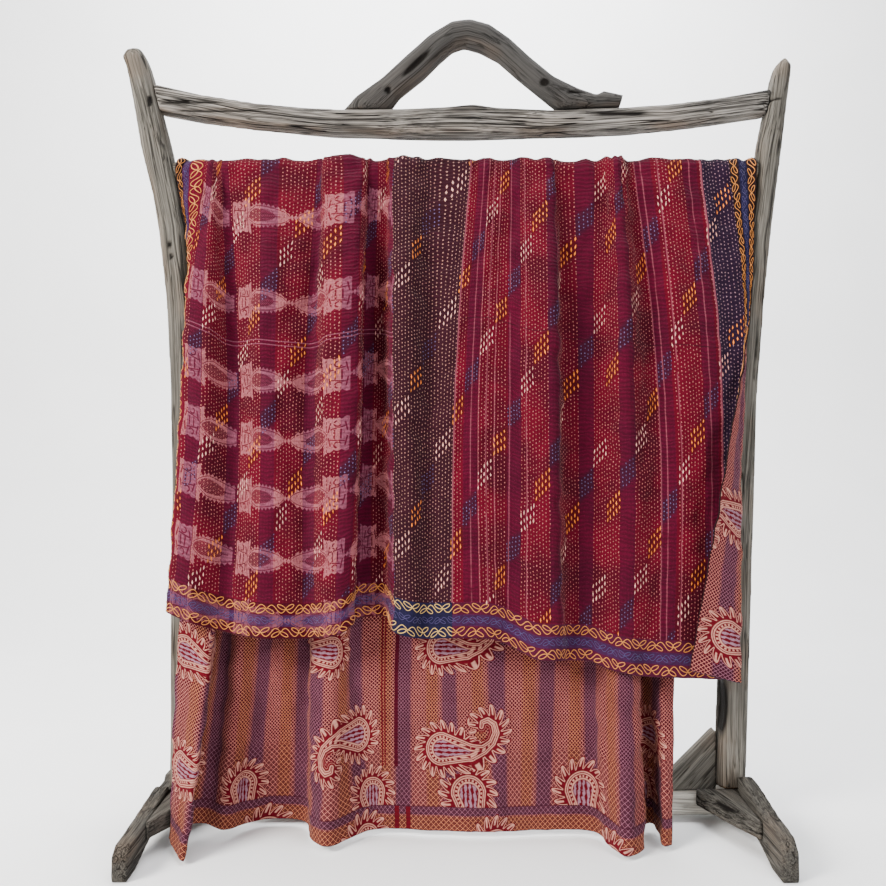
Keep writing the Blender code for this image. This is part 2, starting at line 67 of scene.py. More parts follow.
def colour_of(name, description, *levels):
    """A colour property."""
    return bpy.props.FloatVectorProperty(
        name=name, description=description, default=paint(*levels), subtype="COLOR", size=3, min=0.0, max=1.0)


def length_of(name, description, metres):
    """A length property."""
    return bpy.props.FloatProperty(
        name=name, description=description, default=metres, unit="LENGTH", precision=4)


def number_of(name, description, value):
    """A number property."""
    return bpy.props.FloatProperty(name=name, description=description, default=value)


# ---- Sizes of the bar and of the cloth over it ----

BAR_RADIUS = 0.019
BAR_Z = 1.194
GAP = 0.0003  # between the cloth and the bar
CLOTH_THICKNESS = 0.003
EDGE_ROLL = 0.7  # how far the cloth's edge bulges, as a share of half its thickness
THREAD_LIFT = 0.0003  # how far the threads lie off the outer face
WRAP_ROWS = 16  # runs of cloth over the bar

# ---- The quilt's folds ----
# A row is one ridge, valley or turned edge, in order across the cloth from its left edge, in millimetres.
# Each has its place in plan part of the way down and at the hem, and the hem's height there. At the bar,
# proud is how far it stands off.

Fold = namedtuple("Fold", "name x_bar proud x_mid y_mid x_hem y_hem z_hem")
BackFold = namedtuple("BackFold", "name proud x_mid y_mid x_hem y_hem z_hem")


def in_metres(kind, rows):
    """Rows of this kind, from a name and millimetres."""
    return [kind(name, *[value / 1000 for value in values]) for name, *values in rows]


FRONT_FOLDS = in_metres(Fold, (
    ("left edge", -514.5, 0, -455, -50, -446, -83, 386),
    ("left turn back", -485, 0, -488, -50, -502, -80, 396),
    ("left turn", -463, 1, -493, -60, -509, -90, 399),
    ("left panel", -443, 1, -448, -72, -466, -102, 383),
    ("first valley", -424, 0, -401, -42, -410, -74, 361),
    ("field ridge", -355, 2, -347, -68, -348, -98, 355),
    ("field", -286, 1, -298, -60, -293, -90, 352),
    ("pleat foot", -247, 0, -266, -50, -263, -82, 351),
    ("pleat left", -238, 10, -233, -80, -229, -108, 358),
    ("pleat right", -180, 12, -186, -86, -200, -110, 366),
    ("pleat edge", -167, 6, -172, -72, -184, -94, 376),
    ("pleat valley", -162, 1, -176, -34, -186, -60, 380),
    ("valley floor", -128, 0, -134, -28, -130, -52, 384),
    ("plum edge", -115, 9, -111, -76, -109, -98, 366),
    ("plum ridge", -82, 10, -83, -82, -80, -106, 358),
    ("plum crease", -47, 0, -52, -60, -52, -89, 352),
    ("plum side", 10, 2, -21, -67, -25, -95, 354),
    ("middle ridge", 72, 3, 53, -70, 57, -96, 353),
    ("tuck", 101, 0, 94, -67, 89, -88, 341),
    ("main ridge", 134, 5, 135, -81, 134, -110, 321),
    ("main edge", 173, 7, 174, -83, 173, -110, 318),
    ("main valley", 184, 0, 194, -46, 196, -80, 312),
    ("dark floor", 243, 0, 241, -38, 231, -76, 310),
    ("bright foot", 269, 1, 264, -44, 256, -86, 302),
    ("bright ridge", 292, 13, 301, -78, 292, -101, 293),
    ("slant valley", 317, 0, 355, -60, 346, -88, 285),
    ("right field", 380, 5, 411, -70, 400, -94, 284),
    ("right turn", 466, 1, 492, -66, 486, -92, 280),
    ("right turn front", 492, 1, 499, -83, 485, -112, 281),
    ("right edge", 546.5, 1, 466, -116, 399, -118, 304),
))
BACK_FOLDS = in_metres(BackFold, (
    ("left edge", 1, -497, -56, -491, -130, 20),
    ("strip ridge", 1, -437, -64, -451, -187, 8),
    ("strip back", 0, -438, -22, -468, -104, 30),
    ("recess start", 0, -424, 2, -441, -82, 25),
    ("recess ridge", 5, -396, -18, -410, -92, 18),
    ("recess floor", 0, -350, -2, -374, -54, 14),
    ("recess wave", 3, -318, -8, -330, -34, 14),
    ("recess end", 0, -270, 4, -270, -50, 14),
    ("panel edge", 1, -259, -42, -249, -121, 12),
    ("panel ridge", 5, -220, -54, -216, -141, 12),
    ("panel valley", 0, -180, -32, -163, -82, 12),
    ("long wave", 3, -128, -40, -126, -72, 12),
    ("middle", 1, -48, -34, -48, -79, 12),
    ("middle wave", 5, 45, -40, 57, -86, 12),
    ("right middle", 0, 150, -34, 134, -78, 12),
    ("column foot", 2, 243, -24, 238, -83, 12),
    ("column left", 0, 266, -40, 256, -128, 11),
    ("column front", 5, 297, -66, 280, -172, 9),
    ("column right", 1, 330, -44, 314, -143, 10),
    ("column back", 0, 327, 0, 328, -70, 14),
    ("gap floor", 1, 345, 12, 347, -58, 16),
    ("strip wave", 3, 366, -16, 353, -98, 14),
    ("strip turn", 1, 382, -26, 352, -136, 10),
    ("right edge", 1, 404, -12, 364, -136, 12),
))

BACK_BAR_INSET = 0.014  # how far the back's left edge stands in from the front's, to pass the post

# A flap's folds are part formed at its upper level: blend says how far, and fullness how much deeper they
# are. The folds with a place of their own there are named, in metres. Levels are shares of the way down.
Flap = namedtuple("Flap", "folds rows upper_at mid_at blend fullness upper")

FRONT = Flap(FRONT_FOLDS, 64, 0.30, 0.58, 0.66, 0.3, {
    "left edge": (-0.474, -0.032), "left turn back": (-0.486, -0.040), "left turn": (-0.486, -0.047),
    "slant valley": (0.345, -0.034), "right turn": (0.490, -0.046), "right turn front": (0.517, -0.045),
    "right edge": (0.527, -0.046),
})
BACK = Flap(BACK_FOLDS, 90, 0.40, 0.714, 0.42, 1.2, {
    "left edge": (-0.462, -0.026), "strip ridge": (-0.432, -0.030), "strip back": (-0.422, -0.002),
    "recess start": (-0.408, 0.012), "right edge": (0.462, 0.014),
})


def hermite(knots, values, place, steady=False):
    """A smooth curve through values at knots, read at one place. The values may be arrays.

    A steady curve never turns back between its knots, so it needs values that rise all the way.
    """
    knots = np.asarray(knots, float)
    values = np.asarray(values, float)
    slopes = np.diff(values, axis=0) / np.diff(knots).reshape(-1, *[1] * (values.ndim - 1))
    if steady:
        inner = 2 * slopes[1:] * slopes[:-1] / (slopes[1:] + slopes[:-1])
    else:
        inner = 0.5 * (slopes[1:] + slopes[:-1])
    tangents = np.concatenate([slopes[:1], inner, slopes[-1:]])
    span = int(np.clip(np.searchsorted(knots, place) - 1, 0, len(knots) - 2))
    width = knots[span + 1] - knots[span]
    t = (place - knots[span]) / width
    return (
        (2 * t**3 - 3 * t**2 + 1) * values[span]
        + (t**3 - 2 * t**2 + t) * width * tangents[span]
        + (3 * t**2 - 2 * t**3) * values[span + 1]
        + (t**3 - t**2) * width * tangents[span + 1]
    )


def smooth_line(points, steps=10):
    """Close points on a smooth line through these, their lengths along it, and the lengths at these."""
    spans = np.sqrt(np.linalg.norm(np.diff(points, axis=0), axis=1))
    knots = np.concatenate([[0.0], np.cumsum(spans)])
    places = np.concatenate([np.linspace(a, b, steps, endpoint=False) for a, b in zip(knots, knots[1:])])
    dense = np.array([hermite(knots, points, place) for place in [*places, knots[-1]]])
    lengths = np.concatenate([[0.0], np.cumsum(np.linalg.norm(np.diff(dense, axis=0), axis=1))])
    return dense, lengths, lengths[::steps]


def flat_shares(folds):
    """Where each fold lies across the flat cloth, as a share of its width."""
    shares = []
    for level in ("mid", "hem"):
        plan = np.array([(getattr(fold, "x_" + level), getattr(fold, "y_" + level)) for fold in folds])
        at_folds = smooth_line(plan)[2]
        shares.append(at_folds / at_folds[-1])
    return np.mean(shares, axis=0)


def across(points, shares, wanted):
    """Points at the wanted shares of the cloth's width, on a smooth line through a level's folds."""
    dense, lengths, at_folds = smooth_line(points)
    places = [hermite(shares, at_folds, share, steady=True) for share in wanted]
    return np.stack([np.interp(places, lengths, dense[:, axis]) for axis in range(points.shape[1])], axis=1)


def flap_rows(flap, bar, shares, wanted):
    """A flap's rows from the bar to the hem, from its folds' places in plan at the bar."""
    mid = np.array([(fold.x_mid, fold.y_mid) for fold in flap.folds])
    hem = np.array([(fold.x_hem, fold.y_hem) for fold in flap.folds])
    high = bar + (mid - bar) * flap.blend
    high[1:-1, 1] += flap.fullness * (mid[1:-1, 1] - 0.5 * (mid[2:, 1] + mid[:-2, 1]))
    for row, fold in enumerate(flap.folds):
        if fold.name in flap.upper:
            high[row] = flap.upper[fold.name]
    levels = np.stack([bar, high, mid, hem])
    rows = []
    for share in np.linspace(0.0, 1.0, flap.rows + 1):
        plan = hermite((0.0, flap.upper_at, flap.mid_at, 1.0), levels, share)
        heights = np.array([BAR_Z + (fold.z_hem - BAR_Z) * share for fold in flap.folds])
        rows.append(across(np.column_stack([plan, heights]), shares, wanted))
    return rows


def cloth_rows(wanted):
    """The cloth's middle surface as rows of points, from the front hem over the bar to the back hem."""
    radius = wrap_radius()
    shares, back_shares = flat_shares(FRONT_FOLDS), flat_shares(BACK_FOLDS)
    bar = np.array([(fold.x_bar, -radius - fold.proud) for fold in FRONT_FOLDS])
    front = flap_rows(FRONT, bar, shares, wanted)
    bar_x = across(bar, shares, back_shares)[:, 0]
    bar_x[0] += BACK_BAR_INSET
    bar = np.column_stack([bar_x, [radius + fold.proud for fold in BACK_FOLDS]])
    back = flap_rows(BACK, bar, back_shares, wanted)
    front[0][:, 1] = np.minimum(front[0][:, 1], -radius)
    back[0][:, 1] = np.maximum(back[0][:, 1], radius)
    return np.array(front[::-1] + wrap_rows(front[0], back[0]) + back)


def wrap_radius():
    """The radius of the cloth's middle surface round the bar. Its straight runs just clear the bar."""
    return (BAR_RADIUS + GAP) / math.cos(math.pi / (2 * WRAP_ROWS)) + CLOTH_THICKNESS / 2


def wrap_rows(front, back):
    """The rows over the bar, between the front flap's top row and the back flap's."""
    radius = wrap_radius()
    proud_front = -front[:, 1] - radius
    proud_back = back[:, 1] - radius
    rows = []
    for step in range(1, WRAP_ROWS):
        turn = math.pi * step / WRAP_ROWS
        reach = radius + proud_front * math.cos(turn / 2) ** 3 + proud_back * math.sin(turn / 2) ** 3
        x = front[:, 0] + (back[:, 0] - front[:, 0]) * step / WRAP_ROWS
        rows.append(np.column_stack([x, -reach * math.cos(turn), BAR_Z + reach * math.sin(turn)]))
    return rows


def sheet_normals(rows):
    """Unit normals of a grid of points. They point out of the hanging cloth's outer face."""
    along = np.gradient(rows, axis=0)
    over = np.gradient(rows, axis=1)
    normals = np.cross(over, along)
    return normals / np.linalg.norm(normals, axis=2, keepdims=True)


# ---- What a user would change ----


class ClothSizes(bpy.types.PropertyGroup):
    """The flat quilt and how finely it is made."""

    flat_width: length_of("Flat width", "The quilt's width before it is hung", 1.30)
    flat_length: length_of("Flat length", "The quilt's length before it is hung", 2.13)
    thickness: length_of("Thickness", "From the outer face to the lining", CLOTH_THICKNESS)
    columns: bpy.props.IntProperty(name="Columns", description="Cells across the quilt", default=260, min=40)
    border: length_of("Border", "Width of the braided border on all four sides", 0.062)
    row_gap: length_of("Stitch rows", "Distance between two rows of running stitch", 0.0055)
    stitch_pitch: length_of("Stitch pitch", "Distance from one stitch to the next in its row", 0.0073)
    pucker: length_of("Pucker", "How far the soft puckers lift the cloth", 0.0013)
    gather: length_of("Gather", "How far the small gathers over the bar lift the cloth", 0.0034)


class ClothColours(bpy.types.PropertyGroup):
    """The colours of the quilt's two faces and its threads."""

    crimson: colour_of("Crimson", "The field of the two broad panels", 80, 0, 21)
    maroon: colour_of("Maroon", "The darker parts of the broad panels", 57, 0, 16)
    plain: colour_of("Plain band", "The purple bands between the dotted ones", 60, 1, 27)
    umber: colour_of("Umber", "The ground under the orange stitches", 64, 6, 11)
    plum: colour_of("Plum", "The narrow middle panel", 40, 10, 20)
    navy: colour_of("Navy", "The narrow right panel and the dark patches", 28, 11, 30)
    rose: colour_of("Rose", "The flower sprigs", 140, 78, 84)
    mauve: colour_of("Mauve", "The sprigs where they cross a plain band", 108, 56, 72)
    brown: colour_of("Dark brown", "The ground under the outer braid", 26, 11, 12)
    ink: colour_of("Ink", "The border's ground by the middle panel, and its right band", 22, 19, 44)
    grape: colour_of("Grape", "The front border's ground by the broad right panel", 64, 10, 34)
    violet: colour_of("Violet", "The band between the braids", 52, 20, 52)
    pinstripe: colour_of("Pinstripe", "The thin stripes and seams", 124, 60, 72)
    gold: colour_of("Gold", "The braids", 180, 112, 46)
    pale_gold: colour_of("Pale gold", "The braids on the middle panel", 184, 150, 84)
    faint_braid: colour_of("Faint braid", "The chain between the gold ones", 52, 42, 84)
    salmon: colour_of("Salmon", "The lining's pale weave lines", 184, 112, 102)
    lilac: colour_of("Lilac", "The same in the purple stripes", 126, 80, 96)
    orange: colour_of("Orange", "The same in the orange stripes", 182, 114, 82)
    brick: colour_of("Brick", "The lining's ground", 58, 3, 16)
    wine: colour_of("Wine", "The ground in the purple stripes", 46, 6, 22)
    red: colour_of("Red", "The lining's dark lines", 80, 2, 16)
    cream: colour_of("Cream", "The pale parts of the lining's paisleys", 176, 122, 108)
    seed: colour_of("Seed", "The middles of the paisleys", 134, 98, 112)
    thread_orange: colour_of("Orange thread", "Bright stitches", 212, 112, 24)
    thread_white: colour_of("White thread", "Bright stitches", 204, 146, 134)
    thread_dot: colour_of("Salmon thread", "The common small stitches", 150, 80, 76)
    thread_mauve: colour_of("Mauve thread", "The small stitches on navy", 120, 88, 98)
    thread_plum: colour_of("Cream thread", "The small stitches on plum", 140, 96, 86)
    thread_lilac: colour_of("Lilac thread", "The small stitches in the dark patches", 86, 68, 106)


class WoodColours(bpy.types.PropertyGroup):
    """The colours of the rack's old timber."""

    grey: colour_of("Grey", "Sun-bleached wood", 98, 94, 87)
    driftwood: colour_of("Driftwood", "The rail and the feet", 104, 100, 95)
    block: colour_of("Block", "The dark corner blocks", 72, 69, 64)
    branch: colour_of("Branch", "The smooth dark branch on top", 62, 60, 58)
    brown: colour_of("Brown", "Wood that is less weathered", 73, 55, 39)
    # Dark also paints the shade in the hollows.
    dark: colour_of("Dark", "Grain lines, cracks and knots", 11, 8, 6)
    white: colour_of("Whitewash", "The stretcher's worn wash", 192, 187, 176)


class StageLook(bpy.types.PropertyGroup):
    """The floor, the lights and the camera."""

    floor: colour_of("Floor", "The plain pale floor", 240, 240, 240)
    key: number_of("Key light", "Power of the large front light", 300.0)
    fill: number_of("Fill light", "Power of the right side light", 66.0)
    wall: number_of("Wall light", "Power of the light on the backdrop", 330.0)
    sky: number_of("Sky", "Strength of the even light all round", 0.50)
    lens: number_of("Lens", "The camera's focal length in mm", 36.0)
    eye: bpy.props.FloatVectorProperty(
        name="Camera place", description="Where the camera stands", default=(-0.025, -1.641, 0.694),
        unit="LENGTH")


# ---- Shader sums ----


def sum_of(operation):
    """A method that does this sum on a reading and what it is given."""

    def work(self, *others):
        return Reading(add_node(self, "ShaderNodeMath", self, *others, operation=operation).outputs[0])

    return work


class Reading:
    """A number that varies over a surface. Sums on it add math nodes to its tree."""

    def __init__(self, socket):
        self.socket = socket
        self.id_data = socket.id_data

    __add__ = __radd__ = sum_of("ADD")
    __sub__ = sum_of("SUBTRACT")
    __mul__ = __rmul__ = sum_of("MULTIPLY")
    __truediv__ = sum_of("DIVIDE")
    __mod__ = sum_of("FLOORED_MODULO")
    __abs__ = sum_of("ABSOLUTE")
    sine, floor, root = sum_of("SINE"), sum_of("FLOOR"), sum_of("SQRT")
    least, most = sum_of("MINIMUM"), sum_of("MAXIMUM")
    zigzag = sum_of("PINGPONG")  # climbs to this height and back down, over and over
    bearing = sum_of("ARCTAN2")  # the angle of a place whose second reading this is
    between = sum_of("WRAP")

    def __rsub__(self, other):
        return Reading(add_node(self, "ShaderNodeMath", other, self, operation="SUBTRACT").outputs[0])

    def wrap(self, period):
        """The same place in one period about zero."""
        return self.between(period / 2, -period / 2)

    def length(self, other):
        """How far a place with these two readings is from its origin."""
        return (self * self + other * other).root()

    def step(self, edge, blur, start, end):
        """Runs smoothly from the start to the end over a soft width about the edge."""
        numbers = self, edge - blur, edge + blur, start, end
        node = add_node(self, "ShaderNodeMapRange", *numbers, interpolation_type="SMOOTHSTEP")
        return Reading(node.outputs[0])

    def above(self, edge, blur=0.0005):
        """0 below the edge and 1 above it."""
        return self.step(edge, blur, 0.0, 1.0)

    def below(self, edge, blur=0.0005):
        """1 below the edge and 0 above it."""
        return self.step(edge, blur, 1.0, 0.0)

    def within(self, low, high, blur=0.0005):
        """1 between two edges and 0 outside them."""
        return self.above(low, blur) * self.below(high, blur)

    def near(self, middle, half, blur=0.0004):
        """1 within this distance of the middle."""
        return abs(self - middle).below(half, blur)


def feed(socket, value):
    """Links a reading or socket into a socket, or sets the socket's own value."""
    if isinstance(value, (Reading, bpy.types.NodeSocket)):
        socket.id_data.links.new(getattr(value, "socket", value), socket)
    elif hasattr(value, "__len__") and socket.type == "RGBA":
        socket.default_value = (*value[:3], 1.0)
    else:
        socket.default_value = value


def feed_all(sockets, **values):
    """Feeds the sockets with these names, in which an underscore stands for a space."""
    for label, value in values.items():
        feed(sockets[label.replace("_", " ")], value)


def add_node(beside, kind, *values, **settings):
    """A node in the same tree as another thing, with its settings made and its first inputs fed."""
    node = beside.id_data.nodes.new(kind)
    for name, value in settings.items():
        setattr(node, name, value)
    for socket, value in zip(node.inputs, values):
        feed(socket, value)
    return node


def pair(first, second, third=0.0):
    """A vector of these readings."""
    return add_node(first, "ShaderNodeCombineXYZ", first, second, third).outputs[0]


def split(vector):
    """A vector's three readings."""
    return [Reading(socket) for socket in add_node(vector, "ShaderNodeSeparateXYZ", vector).outputs]


def flat_map(beside, name):
    """The readings of a mesh's UV map, in metres."""
    return split(add_node(beside, "ShaderNodeUVMap", uv_map=name).outputs[0])[:2]


def noise(place, scale, detail=2.0, rough=0.5):
    """Smooth noise from 0 to 1, mostly near the middle."""
    node = add_node(place, "ShaderNodeTexNoise", place)
    feed_all(node.inputs, Scale=scale, Detail=detail, Roughness=rough)
    return Reading(node.outputs[0])


def blend(share, low, high):
    """One colour over another."""
    node = add_node(share, "ShaderNodeMix", share, data_type="RGBA")
    feed(node.inputs[6], low)
    feed(node.inputs[7], high)
    return node.outputs[2]


def coats(colour, *layers):
    """A colour with others over it in turn, each with the share that it covers."""
    for share, other in layers:
        colour = blend(share, colour, other)
    return colour


def shade(colour, brightness):
    """A colour made lighter or darker by a reading."""
    node = add_node(brightness, "ShaderNodeVectorMath", colour, operation="SCALE")
    feed(node.inputs["Scale"], brightness)
    return node.outputs[0]


def bump(height, distance):
    """Normals for a height reading, whose full step stands this far out."""
    node = add_node(height, "ShaderNodeBump")
    feed_all(node.inputs, Height=height, Distance=distance)
    return node.outputs[0]


def new_material(name):
    """A material and its Principled shader."""
    material = bpy.data.materials.new(name)
    material.use_nodes = True
    return material, material.node_tree.nodes["Principled BSDF"]


def new_group(name, gives, **takes):
    """A node group's output sockets, still to be fed, and its inputs in order.

    An input for a number has a number as its default, one for a colour a colour, and one for a place None.
    """
    group = bpy.data.node_groups.new(name, "ShaderNodeTree")
    for label, default in takes.items():
        kind = "Vector" if default is None else "Float" if isinstance(default, float) else "Color"
        socket = group.interface.new_socket(
            label.replace("_", " "), in_out="INPUT", socket_type="NodeSocket" + kind)
        if default is not None:
            socket.default_value = default
    for label in gives:
        kind = "Color" if label == "Colour" else "Float"
        group.interface.new_socket(label, in_out="OUTPUT", socket_type="NodeSocket" + kind)
    values = [
        Reading(socket) if socket.type == "VALUE" else socket
        for socket in group.nodes.new("NodeGroupInput").outputs if socket.name]
    return group.nodes.new("NodeGroupOutput").inputs, values


def use_group(beside, name, **values):
    """Places a node group and feeds its inputs."""
    node = add_node(beside, "ShaderNodeGroup", node_tree=bpy.data.node_groups[name])
    feed_all(node.inputs, **values)
    return node.outputs


# ---- The hanging cloth ----

LINING_HEM = 2.090  # how far along the flat quilt the lining's striped hem starts


def cloth_lines(cloth):
    """Distances from the front hem at which the fine grid has its lines. They are closest over the bar."""
    spans = (
        (0.0, 0.80, 0.0062), (0.80, 1.00, 0.0038), (1.00, LINING_HEM, 0.0072),
        (LINING_HEM, cloth.flat_length, 0.0072))
    lines = [np.linspace(low, high, round((high - low) / step), endpoint=False) for low, high, step in spans]
    return np.concatenate([*lines, [cloth.flat_length]])


class Drape:
    """The hanging cloth's middle surface as a fine grid, read by flat place."""

    def __init__(self, cloth):
        self.width = cloth.flat_width
        self.across = np.linspace(0.0, cloth.flat_width, cloth.columns + 1)
        self.down = cloth_lines(cloth)
        rows = cloth_rows(self.across / self.width)
        steps = np.linalg.norm(np.diff(rows, axis=0), axis=2)
        runs = np.concatenate([np.zeros((1, rows.shape[1])), np.cumsum(steps, axis=0)])
        runs *= cloth.flat_length / runs[-1]
        self.points = np.empty((len(self.down), len(self.across), 3))
        for column in range(len(self.across)):
            for axis in range(3):
                self.points[:, column, axis] = np.interp(self.down, runs[:, column], rows[:, column, axis])
        self.normals = sheet_normals(self.points)
        self.points += self.normals * self.relief(cloth)[..., None]
        self.normals = sheet_normals(self.points)
        self.skin = cloth.thickness / 2 + THREAD_LIFT

    def relief(self, cloth):
        """How far each grid point stands off the smooth drape."""
        u, v = np.meshgrid(self.across, self.down)
        return soft_puckers(u, v) * cloth.pucker + bar_gathers(u, v) * cloth.gather

    def place(self, u, v, height=0.0):
        """Points at these flat places, this far out from the middle surface."""
        column = np.clip(np.asarray(u) / self.width * (len(self.across) - 1), 0, len(self.across) - 1.001)
        row = np.clip(np.interp(v, self.down, np.arange(len(self.down))), 0, len(self.down) - 1.001)
        i, j = row.astype(int), column.astype(int)
        down, over = (row - i)[:, None], (column - j)[:, None]
        found = []
        for grid in (self.points, self.normals):
            low = grid[i, j] * (1 - over) + grid[i, j + 1] * over
            high = grid[i + 1, j] * (1 - over) + grid[i + 1, j + 1] * over
            found.append(low * (1 - down) + high * down)
        out = found[1] / np.linalg.norm(found[1], axis=1, keepdims=True)
        return found[0] + out * np.reshape(height, (-1, 1))


BAR_LINE = 0.905  # how far along the flat quilt the bar's top is


def soft_puckers(u, v):
    """Smooth random relief from many slanted waves, about -1 to 1."""
    random = np.random.default_rng(5)
    total = np.zeros_like(u)
    count = 26
    for _ in range(count):
        wave = random.uniform(0.022, 0.085)
        turn = random.uniform(0, math.pi)
        start = random.uniform(0, 2 * math.pi)
        total += np.sin((u * math.cos(turn) + v * math.sin(turn)) * 2 * math.pi / wave + start)
    return total / math.sqrt(count / 2)


def bar_gathers(u, v):
    """Small ridges down from the bar on both sides, 0 to 1, which fade out within a hand's breadth."""
    wander = np.sin(u * 31.0) * 0.009 + np.sin(u * 73.0 + 1.0) * 0.004
    ridge = np.sin((u + wander + (v - BAR_LINE) * 0.10) * 2 * math.pi / 0.037) * 0.5 + 0.5
    strength = 0.55 + 0.45 * np.sin(u * 19.0 + 2.0)
    return ridge ** 1.5 * strength * np.exp(-((v - BAR_LINE) / 0.085) ** 2)


def add_object(name, data):
    """Puts this data in the scene as an object."""
    item = bpy.data.objects.new(name, data)
    bpy.context.scene.collection.objects.link(item)
    return item


def new_mesh(name, points, faces, material, smooth=True):
    """A mesh in one material."""
    mesh = bpy.data.meshes.new(name)
    mesh.from_pydata(np.asarray(points).tolist(), [], np.asarray(faces).tolist())
    mesh.materials.append(bpy.data.materials[material])
    if smooth:
        mesh.shade_smooth()
    return mesh


def new_piece(name, mesh):
    """An object that moves with the rack."""
    item = add_object(name, mesh)
    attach(item, "root")
    return item


def grid_faces(rows, columns, flip=False):
    """Quads over a grid of points. They look out of the cloth's outer face unless flipped."""
    first = (np.arange(rows - 1)[:, None] * columns + np.arange(columns - 1)).ravel()
    quads = np.stack([first, first + 1, first + columns + 1, first + columns], axis=1)
    return quads[:, ::-1] if flip else quads


def read_out(data, name, width):
    """The values of this name in a mesh's data, a row for each."""
    values = np.empty(width * len(data))
    data.foreach_get(name, values)
    return values.reshape(-1, width)


def add_map(mesh, name, places):
    """A UV map with a place for each corner of each face."""
    mesh.uv_layers.new(name=name).data.foreach_set("uv", places.astype(np.float32).ravel())


def add_flat_map(mesh, name, places):
    """A UV map that holds each point's flat place."""
    corners = read_out(mesh.loops, "vertex_index", 1)[:, 0].astype(int)
    add_map(mesh, name, places[corners])


def add_motif_map(mesh, name, motifs, line=10.0):
    """A UV map in which each quad holds its places relative to its nearest motif.

    A motif is its own place, the way and size that its two directions have there, how far its middle is
    from its place, and whether it stands upright, with its two directions swapped. No motif crosses the line,
    a place along the quilt.
    """
    corners = read_out(mesh.uv_layers["flat"].data, "uv", 2).reshape(-1, 4, 2)
    middle = corners.mean(axis=1)
    table = np.array(motifs, float)
    centre = table[:, :2] + table[:, 4:6]
    nearest = np.empty(len(middle), int)
    for low in range(0, len(middle), 20000):
        places = middle[low:low + 20000, None, :]
        beyond = (places[..., 1] > line) != (table[None, :, 1] > line)
        nearest[low:low + 20000] = np.argmin(((places - centre) ** 2).sum(axis=2) + beyond, axis=1)
    local = corners - table[nearest, None, :2]
    upright = table[nearest, 6] > 0.5
    local[upright] = local[upright][..., ::-1]
    local *= table[nearest, None, 2:4]
    add_map(mesh, name, local)
    mesh.uv_layers.active = mesh.uv_layers["flat"]


def new_thread(name, drape, flat, heights, faces, colours, smooth=True):
    """Stitching over the outer face, by its flat places and heights, with a colour for each point."""
    points = drape.place(flat[:, 0], flat[:, 1], heights + drape.skin)
    mesh = new_mesh(name, points, faces, "cotton_thread", smooth)
    layer = mesh.color_attributes.new(name="thread", type="FLOAT_COLOR", domain="POINT")
    full = np.column_stack([colours, np.ones(len(colours))]).astype(np.float32)
    layer.data.foreach_set("color", full.ravel())
    return new_piece(name, mesh)


def rim_loop(rows, columns):
    """The grid's outer points in order round its edge."""
    order = np.arange(rows * columns).reshape(rows, columns)
    return np.concatenate([order[0], order[1:, -1], order[-1, -2::-1], order[-2:0:-1, 0]])


SprigColumn = namedtuple("SprigColumn", "base way size")
SPRIG_COLUMNS = [SprigColumn(*row) for row in (
    (0.065, 1, 1.0), (0.179, 1, 1.25), (0.395, -1, 1.02), (0.497, -1, 1.22), (0.585, -1, 1.25))]
SPRIG_ROWS = (
    0.031, 0.136, 0.248, 0.352, 0.458, 0.603, 0.764, 0.925, 1.086, 1.247, 1.408, 1.569, 1.730, 1.891, 2.050)
SPRIG_LENGTH = 0.109


def sprig_places():
    """Each sprig's base, its ways and sizes, and how far its middle is from its base."""
    return [
        (column.base, row, column.way * column.size, 1.0, column.way * SPRIG_LENGTH / 2 / column.size, 0.0, 0)
        for column in SPRIG_COLUMNS for row in SPRIG_ROWS
    ]


Paisley = namedtuple("Paisley", "across along way_across way_along upright", defaults=(0,))
PAISLEYS = [Paisley(*row) for row in (
    (0.700, 1.990, 0.92, 0.98), (0.535, 1.962, -1.15, -0.95), (0.700, 1.812, 0.92, 0.98),
    (0.470, 1.805, -1, 1), (0.745, 2.066, 0.9, 0.9, 1), (0.968, 2.064, 0.9, 0.9, 1),
    (0.243, 2.064, 1, 1, 1), (0.560, 2.068, 1, 1, 1), (0.018, 1.804, 1, 1), (0.034, 2.000, 1, -1),
    (0.250, 1.740, -1, 1), (1.235, 1.975, -1, 1), (1.120, 1.800, 1, -1), (1.190, 2.072, 1, 1, 1),
    (0.295, 2.158, 0.9, 0.9, 1), (0.545, 2.150, 0.9, 0.9, 1), (0.795, 2.158, 0.9, 0.9, 1),
    (1.045, 2.158, 0.9, 0.9, 1), (1.242, 0.269, 1, 1), (1.250, 0.070, -1, -1),
)]
PAISLEY_COLUMNS = (0.06, 0.28, 0.50, 0.72, 0.94, 1.16)
PAISLEY_ROWS = (0.09, 0.26, 0.43, 0.60, 0.77, 0.94, 1.11, 1.28, 1.45, 1.62)


def paisley_places():
    """The paisleys' places and ways: those by the hems, and regular rows between."""
    places = []
    for across, along, way_across, way_along, upright in PAISLEYS:
        lean = (0.0, 0.02) if upright else (0.02 * way_across, -0.01 * way_along)
        places.append((across, along, way_across, way_along, *lean, upright))
    for row, along in enumerate(PAISLEY_ROWS):
        for column, across in enumerate(PAISLEY_COLUMNS):
            way = 1 if (row + column) % 2 == 0 else -1
            if along > 0.4 or across < 1.1:
                places.append((across + 0.05 * (row % 2), along, way, way, 0.02 * way, -0.01 * way, 0))
    return places


